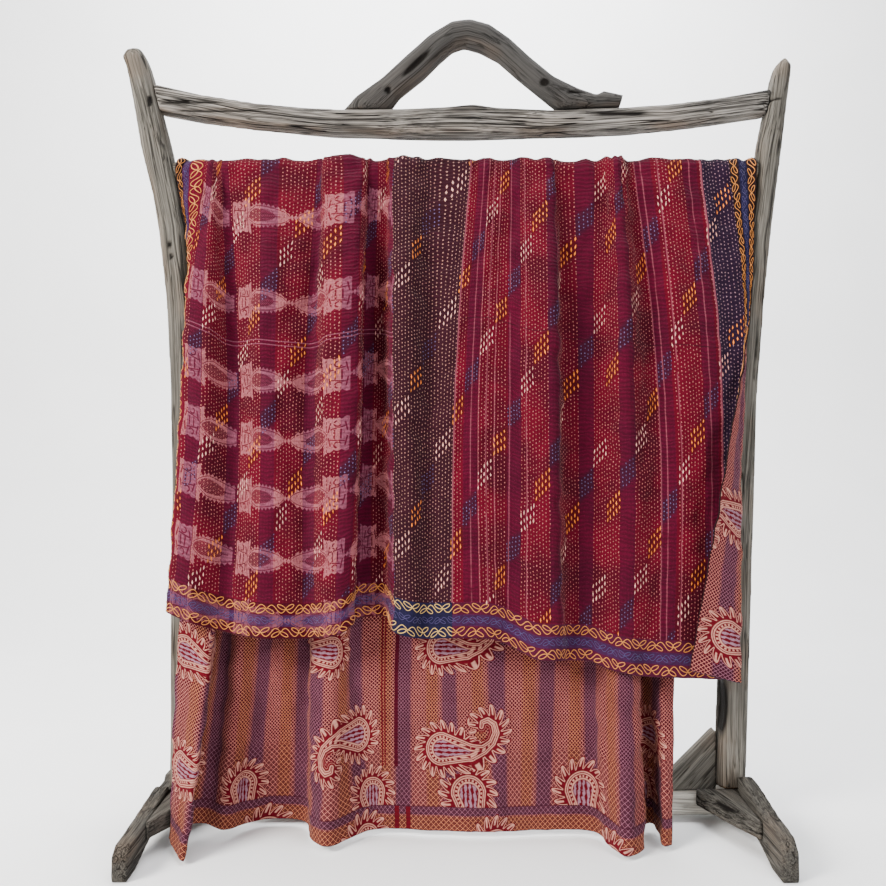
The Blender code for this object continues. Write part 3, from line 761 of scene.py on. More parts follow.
def make_cloth(cloth):
    """The quilt's outer face with its rolled edge, and its lining."""
    drape = Drape(cloth)
    rows, columns = len(drape.down), len(drape.across)
    flat = np.stack(np.meshgrid(drape.across, drape.down), axis=-1).reshape(-1, 2)
    half = cloth.thickness / 2
    middle = drape.points.reshape(-1, 3)
    outward = drape.normals.reshape(-1, 3)
    rim = rim_loop(rows, columns)
    inset = 0.004
    inside = np.clip(flat, inset, (cloth.flat_width - inset, cloth.flat_length - inset))
    towards = drape.place(inside[rim, 0], inside[rim, 1]) - middle[rim]
    roll = middle[rim] - towards / np.linalg.norm(towards, axis=1, keepdims=True) * half * EDGE_ROLL
    points = np.concatenate([middle + outward * half, roll, middle[rim] - outward[rim] * half])
    size, length = rows * columns, len(rim)
    order = np.arange(length)
    after = (order + 1) % length
    faces = np.concatenate([
        grid_faces(rows, columns),
        np.stack([rim[after], rim, size + order, size + after], axis=1),
        np.stack([size + after, size + order, size + length + order, size + length + after], axis=1),
    ])
    face = new_mesh("quilt_face", points, faces, "kantha_face")
    add_flat_map(face, "flat", np.concatenate([flat, flat[rim], flat[rim]]))
    add_motif_map(face, "sprig", sprig_places())
    face = new_piece("quilt_face", face)
    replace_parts(face, "quilt")
    faces = grid_faces(rows, columns, flip=True)
    lining = new_mesh("quilt_lining", middle - outward * half, faces, "kantha_lining")
    add_flat_map(lining, "flat", flat)
    add_motif_map(lining, "paisley", paisley_places(), LINING_HEM)
    return drape, face, new_piece("quilt_lining", lining)


# ---- Stitches and braids ----

ZONE_PERIOD = 0.0775  # one white, one orange and one plain band
WHITE_ZONE, ORANGE_ZONE, PLAIN_ZONE = 0.0335, 0.0593, 0.0076
SLANT = 2.42  # how far the next patch of bright thread is along the quilt, for each metre across it
SLANT_PERIOD = 0.24
PATCH_SLANT = 1.12  # the same from row to row inside a patch
PATCH_PITCH = 0.0127
PATCH_HALF = 0.0195
PATCH_STARTS = ((0.0, 0.050), (0.56, 0.200), (0.975, 0.285))  # from this place across: where patches start
PLUM_PANEL = (0.560, 0.674)
NAVY_PANEL = 1.190
STITCH_RISE = 0.0004


def zone_centres(u):
    """The centre of the thread band that each place is in, and its kind: 0 white, 1 orange, 2 plain."""
    zones = (WHITE_ZONE, ORANGE_ZONE, PLAIN_ZONE)
    centres = [np.round((u - zone) / ZONE_PERIOD) * ZONE_PERIOD + zone for zone in zones]
    kind = np.argmin([abs(u - centre) for centre in centres], axis=0)
    return np.choose(kind, centres), kind


def patch_start(u):
    """Where the patches of bright thread start along the quilt."""
    places, starts = np.transpose(PATCH_STARTS)
    return starts[np.searchsorted(places, u, "right") - 1]


def patch_place(u, v):
    """How far along the quilt each place is from the nearest patch's middle line."""
    centre, _ = zone_centres(u)
    off = v - patch_start(u) - SLANT * centre - PATCH_SLANT * (u - centre)
    return (off + SLANT_PERIOD / 2) % SLANT_PERIOD - SLANT_PERIOD / 2


def inside_field(cloth, u, v):
    """Whether each place is further in than the border."""
    edge = np.minimum(np.minimum(u, cloth.flat_width - u), np.minimum(v, cloth.flat_length - v))
    return edge > cloth.border


def in_plum(u):
    """Whether each place across is on the plum panel."""
    return (u > PLUM_PANEL[0]) & (u < PLUM_PANEL[1])


def dot_places(cloth, rows, random):
    """The common stitches' flat places: rows across the quilt, each with its own start."""
    count = int(cloth.flat_length / cloth.stitch_pitch) - 1
    starts = (np.arange(len(rows)) % 2 * 0.5 + random.uniform(-0.12, 0.12, len(rows))) * cloth.stitch_pitch
    u = np.repeat(rows, count)
    v = (starts[:, None] + np.arange(1, count + 1) * cloth.stitch_pitch - cloth.stitch_pitch / 2).ravel()
    _, kind = zone_centres(u)
    near = abs(patch_place(u, v)) < PATCH_HALF
    dotted = (kind != 2) | (u > NAVY_PANEL) | in_plum(u)
    keep = inside_field(cloth, u, v) & np.where(kind == 2, near | dotted, ~near)
    return u[keep], v[keep]


def accent_places(cloth, rows):
    """The bright stitches' flat places: three in each row of a patch."""
    bands = np.arange(-16, 12)
    u = np.repeat(rows, len(bands) * 3)
    centre, kind = zone_centres(u)
    band = np.tile(np.repeat(bands, 3), len(rows))
    step = np.tile([-1, 0, 1], len(rows) * len(bands))
    v = patch_start(u) + SLANT * centre + PATCH_SLANT * (u - centre)
    v += band * SLANT_PERIOD
    v += step * PATCH_PITCH
    keep = inside_field(cloth, u, v) & (kind != 2)
    return u[keep], v[keep]


def new_stitches(name, drape, u, v, length, width, turn, colours):
    """Small raised lozenges along the cloth, each with its own colour."""
    corners = np.array([(0, -1), (1, -0.1), (0, 1), (-1, -0.1)])
    along = corners[:, 1] * length[:, None] / 2
    over = corners[:, 0] * width[:, None] / 2
    sine, cosine = np.sin(turn)[:, None], np.cos(turn)[:, None]
    corner_u = u[:, None] + over * cosine + along * sine
    corner_v = v[:, None] + along * cosine - over * sine
    flat = np.column_stack([corner_u.ravel(), corner_v.ravel()])
    heights = np.tile([0.0, STITCH_RISE, 0.0, STITCH_RISE], len(u))
    faces = np.arange(4 * len(u)).reshape(-1, 4)
    return new_thread(name, drape, flat, heights, faces, np.repeat(colours, 4, axis=0), smooth=False)


def dot_colours(colours, u, v):
    """Salmon on red, cream on plum, mauve on navy, lilac in the dark patches."""
    _, kind = zone_centres(u)
    base = np.tile(np.array(colours.thread_dot), (len(u), 1))
    base[kind == 2] = colours.thread_lilac
    base[in_plum(u) & ((kind != 2) | (abs(patch_place(u, v)) > PATCH_HALF))] = colours.thread_plum
    base[u > NAVY_PANEL] = colours.thread_mauve
    return base


def make_stitches(cloth, colours, drape):
    """The running stitches over the outer face: small dots, and bright patches of longer stitches."""
    random = np.random.default_rng(11)
    rows = np.arange(cloth.row_gap, cloth.flat_width - cloth.row_gap / 2, cloth.row_gap)
    shades = np.array([colours.thread_white, colours.thread_orange])
    dots = dot_places(cloth, rows, random)
    accents = accent_places(cloth, rows)
    pieces = []
    for name, (u, v), length, width, base in (
        ("quilt_stitches", dots, 0.0032, 0.0018, dot_colours(colours, *dots)),
        ("quilt_accents", accents, 0.0088, 0.0021, shades[zone_centres(accents[0])[1]]),
    ):
        count = len(u)
        vary = random.normal(1.0, 0.16, (count, 1)) * random.normal(1.0, 0.03, (count, 3))
        pieces.append(new_stitches(
            name, drape, u + random.normal(0, 0.0003, count), v + random.normal(0, 0.0007, count),
            length * random.normal(1.0, 0.12, count), width * random.normal(1.0, 0.10, count),
            random.normal(0, 0.10, count), np.clip(base * vary, 0, 1),
        ))
    return pieces


def border_path(cloth, inset, step):
    """Flat places round the quilt this far in from its edge, with the direction of travel at each."""
    right, far = cloth.flat_width - inset, cloth.flat_length - inset
    corners = np.array([(inset, inset), (right, inset), (right, far), (inset, far), (inset, inset)])
    places, ways = [], []
    for low, high in zip(corners, corners[1:]):
        run = np.linalg.norm(high - low)
        shares = np.arange(round(run / step)) / round(run / step)
        places.append(low + (high - low) * shares[:, None])
        ways.append(np.tile((high - low) / run, (len(shares), 1)))
    return np.concatenate(places), np.concatenate(ways)


LOOP_LENGTH, LOOP_WIDTH = 0.235, 0.095  # half a loop's length and width, as shares of its link
LOOP_RUN = 0.37  # a loop leans this share of a link along for a full swing across
LOOP_PLACES = ((0.215, -0.5), (0.785, 0.5))  # the middles of a link's two loops, as shares of link and swing


def chain_strands(cloth, inset, link, swing):
    """A chain stitch round the border: an S strand in each link, with a slanted loop on either side of it."""
    step = 0.0024
    places, ways = border_path(cloth, inset, step)
    side = np.column_stack([-ways[:, 1], ways[:, 0]])
    count = round(len(places) * step / link)
    run = np.arange(len(places)) / len(places) * count
    hand = np.where(run.astype(int) % 2 == 0, 1.0, -1.0)
    strands = [places + side * (swing * hand * np.sin(2 * math.pi * run))[:, None]]
    turns = np.linspace(0, 2 * math.pi, 15, endpoint=False)
    long, wide = LOOP_LENGTH * link * np.cos(turns), LOOP_WIDTH * link * np.sin(turns)
    lean = np.array([LOOP_RUN * link, -swing])
    lean /= np.linalg.norm(lean)
    along = long * lean[0] - wide * lean[1]
    for number in range(count):
        sign = 1.0 if number % 2 == 0 else -1.0
        for middle, across in LOOP_PLACES:
            spot = int((number + middle) / count * len(places))
            over = sign * (across * swing + long * lean[1] + wide * lean[0])
            strands.append(places[spot] + ways[spot] * along[:, None] + side[spot] * over[:, None])
    return strands


def new_ribbon(name, drape, strands, width, rise, colour, on_plum):
    """Raised ribbons along closed flat paths, in one colour and another where they cross the plum panel."""
    flats, faces = [], []
    start = 0
    for places in strands:
        way = np.roll(places, -1, axis=0) - np.roll(places, 1, axis=0)
        way /= np.linalg.norm(way, axis=1, keepdims=True) + 1e-9
        side = np.column_stack([-way[:, 1], way[:, 0]]) * width / 2
        count = len(places)
        flats.append(np.stack([places - side, places, places + side], axis=1).reshape(-1, 2))
        near = start + 3 * np.arange(count)
        far = start + 3 * ((np.arange(count) + 1) % count)
        faces += [np.stack([near + k, near + k + 1, far + k + 1, far + k], axis=1) for k in (0, 1)]
        start += 3 * count
    flat = np.concatenate(flats)
    heights = np.tile([0.0, rise, 0.0], len(flat) // 3)
    shades = np.where(in_plum(flat[:, :1]), np.array(on_plum), np.array(colour))
    return new_thread(name, drape, flat, heights, np.concatenate(faces), shades)


Braid = namedtuple("Braid", "name inset link swing width rise colour on_plum")


def make_braids(cloth, colours, drape):
    """The two gold chains round the border and the faint one between them."""
    gold = colours.gold, colours.pale_gold
    faint = colours.faint_braid, colours.faint_braid
    return [
        new_ribbon(braid.name, drape, chain_strands(cloth, *braid[1:4]), *braid[4:])
        for braid in (
            Braid("outer_braid", 0.0105, 0.032, 0.0072, 0.0013, 0.0006, *gold),
            Braid("inner_braid", 0.0515, 0.032, 0.0070, 0.0013, 0.0006, *gold),
            Braid("band_braid", 0.0310, 0.024, 0.0052, 0.0009, 0.0002, *faint),
        )
    ]


# ---- Finishes ----


def driftwood_group():
    """Old grey wood with streaks, cracks and knots. Its grain runs along the third axis of its place."""
    ends, (place, pale, brown, dark, warmth, cracks, contrast, hollow) = new_group(
        "driftwood", ("Colour", "Roughness", "Height"), Place=None, Light=(0.33, 0.31, 0.27, 1),
        Warm=(0.16, 0.10, 0.06, 1), Dark=(0.03, 0.02, 0.02, 1),
        Warmth=0.4, Cracks=0.5, Contrast=1.0, Hollow=0.0)
    x, y, z = split(place)
    bend = (noise(pair(x, y, z * 0.4), 7.0, 2.0) - 0.5) * 0.022
    across, over = x + bend, y + bend
    broad, fine, streak, crack = [
        noise(pair(across, over, z * stretch), *sizes)
        for stretch, *sizes in (
            (0.08, 30.0, 3.0, 0.6), (0.014, 330.0, 3.0, 0.8), (0.016, 130.0, 2.0, 0.6), (0.030, 62.0, 1.0))
    ]
    patch = noise(place, 9.0, 3.0)
    gap = abs(crack - 0.5).below(0.013, 0.009) * patch.above(0.44, 0.05)
    deep = abs(streak - 0.5).below(0.010, 0.010) * noise(place, 13.0, 1.0).above(0.50, 0.06)
    cut = gap.most(deep) * cracks
    warm = (broad * 0.6 + patch * 0.8).above(0.74, 0.12) * warmth
    light = 1.0 + ((fine - 0.5) * 4.2 + (broad - 0.5) * 1.5 + (patch - 0.5) * 0.8) * contrast
    colour = coats(
        shade(blend(warm, pale, brown), light.most(0.12)),
        (streak.below(0.41, 0.05) * contrast * 0.45, dark),
        # painted shade: the hollows go dark, and the knots take their own dark
        (cut.most(hollow * 0.97), dark),
    )
    height = fine * 0.6 + broad * 0.4 + streak * 0.5 - cut * 1.6
    feed_all(ends, Colour=colour, Roughness=0.80 + fine * 0.18, Height=height)


def wood_material(name, finish, light, wood):
    """Wood that is browner underneath, with painted shade in its hollows and the dark of its knots. The plain
    bar's grain runs along X.
    """
    material, shader = new_material(name)
    coordinates = add_node(shader, "ShaderNodeTexCoord").outputs
    if finish.worn:
        turned = split(add_node(shader, "ShaderNodeAttribute", attribute_name="grain").outputs["Vector"])
    else:
        x, y, z = split(coordinates["Object"])
        turned = (y, z, x)
    facing = split(coordinates["Normal"])[2]
    out = use_group(
        shader, "driftwood", Place=pair(*[reading + finish.offset for reading in turned]),
        Light=light, Warm=wood.brown, Dark=wood.dark, Cracks=finish.cracks, Contrast=finish.contrast,
        # the painted hollow shade and knot dark of the worn copy
        Hollow=add_node(shader, "ShaderNodeAttribute", attribute_name="hollow").outputs["Fac"],
        Warmth=facing.below(-0.35, 0.35) * (0.2 + 1.3 * finish.warmth) + finish.warmth)
    feed_all(
        shader.inputs, Base_Color=out["Colour"], Roughness=out["Roughness"],
        Normal=bump(out["Height"], 0.0016), Specular_IOR_Level=0.1)
    return material


WoodFinish = namedtuple(
    "WoodFinish", "tone warmth cracks contrast offset nodes slot worn", defaults=("weathered_wood", True))
WOOD_FINISHES = {
    "post_wood": WoodFinish("grey", 0.45, 0.8, 0.85, 0.0, ("upright_left", "upright_right")),
    "rail_wood": WoodFinish("driftwood", 0.16, 1.0, 1.6, 1.3, ("top_rail",)),
    "branch_wood": WoodFinish("branch", 0.05, 0.6, 0.40, 2.1, ("branch_handle",), "grey_branch"),
    "bar_wood": WoodFinish("grey", 0.5, 0.3, 1.0, 3.7, ("hanging_bar",), worn=False),
    "stretcher_wood": WoodFinish("white", 0.10, 0.5, 0.6, 4.4, ("stretcher",), "whitewashed_wood"),
    "foot_wood": WoodFinish("block", 0.35, 0.8, 0.9, 5.2, ("foot_left", "foot_right")),
    "gusset_wood": WoodFinish("grey", 0.3, 0.7, 0.8, 8.3, ("gusset_left", "gusset_right")),
    "block_wood": WoodFinish("block", 0.1, 0.9, 0.9, 6.3, (
        "corner_front_left", "corner_front_right", "corner_back_left", "corner_back_right")),
}
GRAIN_LINES = {  # x and z in millimetres along the middle of the bent pieces, which their grain follows
    "upright_left": ((-503, 60), (-501, 590), (-509.5, 950), (-522, 1085), (-555, 1240), (-594, 1404)),
    "upright_right": ((506.5, 60), (512.5, 340), (523, 590), (543.5, 950), (558.5, 1085), (577, 1240),
        (604, 1404)),
    "top_rail": ((-553, 1329), (-370, 1297), (-215, 1285), (0, 1284), (175, 1284), (390, 1295),
        (590, 1322)),
    "branch_handle": ((-166, 1310), (-122, 1350), (-77, 1389), (-41, 1423), (-8, 1446), (20, 1451.5),
        (52, 1442.5), (88, 1420), (122.5, 1390), (166, 1354), (208, 1330), (243, 1322), (305, 1325)),
}
Mark = namedtuple("Mark", "across up half_width half_height depth lean", defaults=(0,))
# Each mark is painted dark: painted shade in the hollows, the knots' own dark.
MARKS = {  # the hollows and knots, in millimetres apart from the lean, which is a slope
    "branch_handle": ((-74, 1388, 24, 8, 6, 0.89), (-125, 1339, 6, 6, 6), (160, 1352, 9, 7, 4),
        (215, 1336, 16, 3, 3)),
    "upright_left": ((-524, 1056, 5, 6, 3), (-521, 1034, 4, 5, 3), (-560, 1318, 5, 10, 3)),
    "upright_right": ((479, 214, 15, 56, 8), (571, 1322, 20, 3, 3)),
    "top_rail": ((-485, 1318, 50, 3, 4), (-440, 1302, 70, 3, 4), (300, 1296, 60, 3, 3)),
    "corner_front_right": ((470, 58, 10, 8, 3), (530, 50, 12, 7, 3)),
    "corner_front_left": ((-545, 55, 10, 8, 4),),
}
WORN_GRID = 0.004  # how fine the worn wood's mesh is


def grain_places(points, node):
    """Each point's place across the grain, through it and along it, which is the piece's longest way."""
    if node not in GRAIN_LINES:
        ways = np.linalg.svd(points - points.mean(axis=0), full_matrices=False)[2]
        return points @ ways[[1, 2, 0]].T
    line = np.array(GRAIN_LINES[node]) / 1000
    steps = np.diff(line, axis=0)
    lengths = np.linalg.norm(steps, axis=1)
    starts = np.concatenate([[0.0], np.cumsum(lengths)])
    flat = points[:, (0, 2)]
    best = np.full(len(points), np.inf)
    across, along = np.zeros(len(points)), np.zeros(len(points))
    for start, step, length, run in zip(line, steps, lengths, starts):
        off = flat - start
        share = np.clip(off @ step / length ** 2, 0, 1)
        gap = np.linalg.norm(off - share[:, None] * step, axis=1)
        side = np.sign(step[0] * off[:, 1] - step[1] * off[:, 0])
        near = gap < best
        best[near] = gap[near]
        across[near] = (side * gap)[near]
        along[near] = (run + share * length)[near]
    return np.stack([across, points[:, 1], along], axis=1)


def grain_relief(places, offset):
    """How far the worn wood stands out at each point, in millimetres: ridges along the grain."""
    heights = np.empty(len(places))
    for number, (a, b, c) in enumerate(places + (offset, offset, 0)):
        ridge = noise_at(Vector((a * 42, b * 42, c * 2.6)))
        swell = noise_at(Vector((a * 12, b * 12, c * 7.0)))
        heights[number] = ridge * 1.1 + swell * 1.6
    return heights


def mark_depths(points, normals, node):
    """How deep the node's own hollows and knots are at each point of its front, and how dark they are
    painted: painted shade in the hollows, the knots' own dark.
    """
    depth, dark = np.zeros(len(points)), np.zeros(len(points))
    front = (normals[:, 1] < 0.3) & (abs(normals[:, 2]) < 0.6)
    for row in MARKS.get(node, ()):
        mark = Mark(*row)
        aside = points[:, 0] - mark.across / 1000
        above = points[:, 2] - mark.up / 1000 - mark.lean * aside
        wide, high = mark.half_width / 1000, mark.half_height / 1000
        near = np.exp(-(aside / wide) ** 2 - (above / high) ** 2) * front
        depth += near * (mark.depth / 1000)
        # painted shade in the hollows, and the knots' own dark
        dark = np.maximum(dark, np.clip(near * 4.0 - 0.8, 0, 1))
    return depth, dark


def wear_piece(node, finish, material):
    """A finer copy of a rack piece, with rounded edges, ridges along its grain, and hollows and knots, the
    hollows darkened with painted shade.
    """
    rough = add_object("rough_" + node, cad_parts[node].data.copy())
    grid = rough.modifiers.new("grid", "REMESH")
    grid.mode = "VOXEL"
    grid.voxel_size = WORN_GRID
    rough.modifiers.new("ease", "SMOOTH").iterations = 4
    worn = bpy.data.meshes.new_from_object(rough.evaluated_get(bpy.context.evaluated_depsgraph_get()))
    bpy.data.objects.remove(rough)
    points, normals = read_out(worn.vertices, "co", 3), read_out(worn.vertices, "normal", 3)
    depth, dark = mark_depths(points, normals, node)
    grain = grain_places(points, node)
    points += normals * (grain_relief(grain, finish.offset) * 0.001 - depth)[:, None]
    points[:, 2] = np.maximum(points[:, 2], 0.0)
    worn.vertices.foreach_set("co", points.ravel())
    # the painted hollow shade and knot dark, for the wood material
    layer = worn.attributes.new(name="hollow", type="FLOAT", domain="POINT")
    layer.data.foreach_set("value", dark.astype(np.float32))
    layer = worn.attributes.new(name="grain", type="FLOAT_VECTOR", domain="POINT")
    layer.data.foreach_set("vector", grain.astype(np.float32).ravel())
    worn.materials.clear()
    worn.materials.append(material)
    worn.shade_smooth()
    worn.name = "worn_" + node
    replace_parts(new_piece(worn.name, worn), node)


def finish_wood(wood):
    """Gives each piece of the rack its own wood. All but the bar, which the quilt covers, get worn copies."""
    driftwood_group()
    for name, finish in WOOD_FINISHES.items():
        material = wood_material(name, finish, getattr(wood, finish.tone), wood)
        for node in finish.nodes:
            if finish.worn:
                wear_piece(node, finish, material)
                continue
            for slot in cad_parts[node].material_slots:
                slot.material = material


def thread_material():
    """Cotton thread that takes its colour from each stitch."""
    _, shader = new_material("cotton_thread")
    own = add_node(shader, "ShaderNodeVertexColor", layer_name="thread").outputs["Color"]
    fluff = noise(add_node(shader, "ShaderNodeTexCoord").outputs["Object"], 900.0, 1.0)
    feed_all(
        shader.inputs, Base_Color=shade(own, 0.8 + fluff * 0.4), Roughness=0.65 + fluff * 0.2,
        Specular_IOR_Level=0.3, Sheen_Weight=0.2)


def cloth_weave_group():
    """Woven cotton with quilting puckers: a brightness and a height over the flat place. The brightness
    carries painted shade that rises and falls with the ripples.
    """
    ends, (u, v, gap, pitch, ripple_shade) = new_group(
        "quilted_weave", ("Brightness", "Height"),
        Across=0.0, Along=0.0, Row_gap=0.0055, Pitch=0.0065, Ripple=0.15)
    place = pair(u, v)
    thread = noise(pair(u * 0.3, v), 900.0, 1.0)
    slub = noise(pair(u, v * 0.12), 420.0, 2.0)
    wander = noise(place, 60.0, 1.0) * 9.0
    ripple = (v / pitch * (2 * math.pi) + wander).sine() * 0.5 + 0.5
    row = (u / gap * (2 * math.pi)).sine() * 0.5 + 0.5
    worn = noise(place, 14.0, 3.0)
    # painted shade: the brightness follows the ripple's height
    light = 0.40 + thread * 0.40 + slub * 0.35 + worn * 0.45 + (ripple - 0.5) * ripple_shade
    feed_all(ends, Brightness=light, Height=ripple * (0.55 + row * 0.45) + thread * 0.12)


def finish_cloth(cloth, shader, u, v, field, ripple, depth):
    """The weave's brightness, with its painted ripple shade, and its relief over a cloth's colours."""
    weave = use_group(
        shader, "quilted_weave",
        Across=u, Along=v, Row_gap=cloth.row_gap, Pitch=cloth.stitch_pitch, Ripple=ripple)
    feed_all(
        shader.inputs, Base_Color=shade(field, weave["Brightness"]), Normal=bump(weave["Height"], depth),
        Roughness=0.92, Specular_IOR_Level=0.10, Sheen_Weight=0.03)


LEAF_START = 0.033  # how far along a sprig its leaf starts


def drop_width(along, start, length, point, width):
    """Half the width of a drop shape: round at its start, and narrower to its point."""
    share = (along - start) / length
    taper = (share - 0.25).most(0.0) / point
    return (share.most(0.0) / 0.25).least(1.0 - taper * taper).most(0.0).root() * width


def flower_sprig_group():
    """A rose sprig: a square base with two curls, and a fringed leaf with a striped seed in it."""
    ends, (along, over) = new_group("flower_sprig", ("Shape", "Dark"), Along=1.0, Over=1.0)
    over = abs(over)
    half = drop_width(along, LEAF_START, 0.076, 0.82, 0.0195)
    tooth = ((along + over * 0.7) / 0.0076) % 1.0 * 0.0052
    leaf = (over - half - tooth).below(0.0, 0.0006) * along.above(LEAF_START)
    rim = (over - half).near(-0.0012, 0.0008)
    seed = (over - drop_width(along, 0.036, 0.050, 0.78, 0.0128)).below(0.0, 0.0005)
    stripes = ((along + over * 0.9) * (2 * math.pi / 0.0036)).sine().above(-0.25, 0.4)
    vein = over.below(0.0009, 0.0004) * along.within(0.084, 0.097)
    side = along - LEAF_START / 2
    scallop = abs((along * (3 * math.pi / LEAF_START)).sine()) * 0.0030
    base = (over - scallop - side * side * 12.0).below(0.0262, 0.0006) * along.within(0.0, LEAF_START + 0.006)
    hook = side.length(over - 0.0190).near(0.0050, 0.0012) * (along - over * 0.7).above(0.0006, 0.001)
    bars = abs(side).near(0.0045, 0.0013) * over.below(0.0085)
    rail = (over + along * 0.2).near(0.0145, 0.0011) * along.within(0.006, 0.028)
    tail = (abs(side) + over * 0.2).near(0.0145, 0.0012) * over.within(0.0045, 0.0215)
    base_dark = hook.most(bars).most(rail).most(tail) * base
    leaf_dark = (rim.most(vein) * (1.0 - seed)).most(seed * (0.62 + stripes * 0.38)) * leaf
    dark = base_dark.most(leaf_dark).most(along.near(LEAF_START, 0.0006))
    feed_all(ends, Shape=leaf.most(base), Dark=dark)


def thread_bands(u, v):
    """Where the plain and the orange bands are, and the slanted patches of bright thread in every band."""
    band = ((u - PLAIN_ZONE + ZONE_PERIOD / 6) / (ZONE_PERIOD / 3)).floor()
    kind = band % 3.0
    centre = band * (ZONE_PERIOD / 3) + PLAIN_ZONE
    start = PATCH_STARTS[0][1]
    for low, high in zip(PATCH_STARTS, PATCH_STARTS[1:]):
        start = u.above(high[0], 0.0003) * (high[1] - low[1]) + start
    off = (v - start - centre * (SLANT - PATCH_SLANT) - u * PATCH_SLANT).wrap(SLANT_PERIOD)
    return kind.below(0.5, 0.01), kind.above(1.5, 0.01), abs(off).below(PATCH_HALF, 0.007)


def pinstripes(u):
    """The thin stripes and seam lines along the broad right panel."""
    near = (u - 0.706).zigzag(0.007) + u.above(0.755, 0.001) + u.below(0.700, 0.001)
    for across in (0.773, 0.807, 0.872, 1.080, 1.091, 1.115, 1.169):
        near = near.least(abs(u - across))
    return near.below(0.0009, 0.0005)


def border_ground(cloth, colours, u, v, edge):
    """The border's three bands of ground, which differ from side to side."""
    hem = v.least(cloth.flat_length - v)
    side = (u.least(cloth.flat_width - u) - hem).below(0.0, 0.0003)
    right = u.above(0.675)
    middle = u.within(*PLUM_PANEL)
    front = blend(right, colours.maroon, colours.grape)
    front = blend(middle.most(u.above(NAVY_PANEL)), front, colours.ink)
    inner = coats(front, (side * right.below(0.5, 0.1), colours.crimson), (side * right, colours.brown))
    outer = blend(side, front, colours.brown)
    band = blend((side * right).most((1.0 - side) * middle), colours.violet, colours.ink)
    return coats(outer, (edge.above(0.0305), inner), (edge.within(0.0205, 0.0405), band))


def face_material(cloth, colours):
    """The outer face: crimson, plum and navy panels, slanted thread bands, rose sprigs, the border, and a
    thin line of painted shade along a crease.
    """
    _, shader = new_material("kantha_face")
    u, v = flat_map(shader, "flat")
    plain, orange, patch = thread_bands(u, v)
    edge = u.least(cloth.flat_width - u).least(v.least(cloth.flat_length - v))
    worn = noise(pair(u, v), 11.0, 3.0)
    inside = edge.above(cloth.border)
    sprig = use_group(shader, "flower_sprig", **dict(zip(("Along", "Over"), flat_map(shader, "sprig"))))
    clear = u.within(cloth.border, PLUM_PANEL[0]) * inside.most(v.below(0.0615) * 0.5)
    cross = u.below(PLUM_PANEL[0]) * v.near(0.524, 0.0009, 0.0005).most(v.near(0.5315, 0.0009, 0.0005))
    field = coats(
        blend(worn.above(0.52, 0.14), colours.crimson, colours.maroon),
        (plain * 0.7, colours.plain),
        (orange * patch * 0.7, colours.umber),
        (plain * patch * 0.55, colours.navy),
        (u.within(*PLUM_PANEL), colours.plum),
        (pinstripes(u) * worn.above(0.36, 0.06) * 0.75, colours.pinstripe),
        # painted shade: a thin dark line where a crease crosses the broad right panel
        (u.within(0.675, 1.19) * v.near(0.571, 0.0006, 0.0006) * 0.8, colours.plum),
        (u.above(NAVY_PANEL), colours.navy),
        (u.near(0.6738, 0.0010, 0.0006).most(u.near(NAVY_PANEL, 0.0016)), colours.pinstripe),
        (edge.below(cloth.border), border_ground(cloth, colours, u, v, edge)),
        (cross * inside * 0.8, colours.mauve),
    )
    flower = blend(Reading(sprig["Dark"]) * 0.95, blend(plain, colours.rose, colours.mauve), field)
    threads = noise(pair(u, v * 0.3), 520.0, 1.0).above(0.38, 0.16) * 0.65 + 0.32
    field = blend(Reading(sprig["Shape"]) * clear * threads, field, flower)
    # ripple sets how strong the painted ripple shade is, strongest in the plain bands
    finish_cloth(cloth, shader, u, v, field, ripple=plain * (1.0 - patch) * 0.34 + 0.05, depth=0.0011)


WEAVE_CHANGE = 1.995  # from here to the back hem the lining's diamonds are larger, with a ring in each


def diamond_weave_group():
    """The lining's weave: pale threads that cross in small diamonds, larger ones by the back hem."""
    ends, (u, v) = new_group("diamond_weave", ("Line", "Height"), Across=0.0, Along=0.0)
    drift = (noise(pair(u, v), 40.0, 2.0) - 0.5) * 0.003
    large = v.above(WEAVE_CHANGE, 0.001)
    size = 0.0032 + large * 0.0014
    cell = abs(((u + drift).zigzag(size) + (v - drift).zigzag(size)) / size - 1.0)
    line = (cell + large * 0.03).below(0.145, 0.06)
    ring = cell.near(0.60, 0.03, 0.06) * large * 0.8
    fluff = noise(pair(u, v * 0.5), 800.0, 2.0)
    total = (line.most(ring) * (0.40 + fluff * 1.1)).least(1.0)
    feed_all(ends, Line=total, Height=total * 0.5)


PAISLEY_LINE = (  # along the paisley, over it and its half width, in millimetres: body, then curled tail
    (0, 0, 29), (46, 5, 16), (70, 1, 9), (86, -10, 7), (94, -26, 6.2), (91, -41, 5.6), (81, -49, 5),
    (71, -46, 4.4), (69, -38, 3.8),
)
CURL_PLACE = (0.078, -0.028)  # the middle of its curl, in metres


def limb(x, y, low, high):
    """How far a place is outside a rounded limb, from its ends' places and half widths in millimetres."""
    run, rise, widen = [(later - early) / 1000 for early, later in zip(low, high)]
    off_x, off_y = x - low[0] / 1000, y - low[1] / 1000
    share = ((off_x * run + off_y * rise) / (run * run + rise * rise)).most(0.0).least(1.0)
    return (off_x - share * run).length(off_y - share * rise) - share * widen - low[2] / 1000


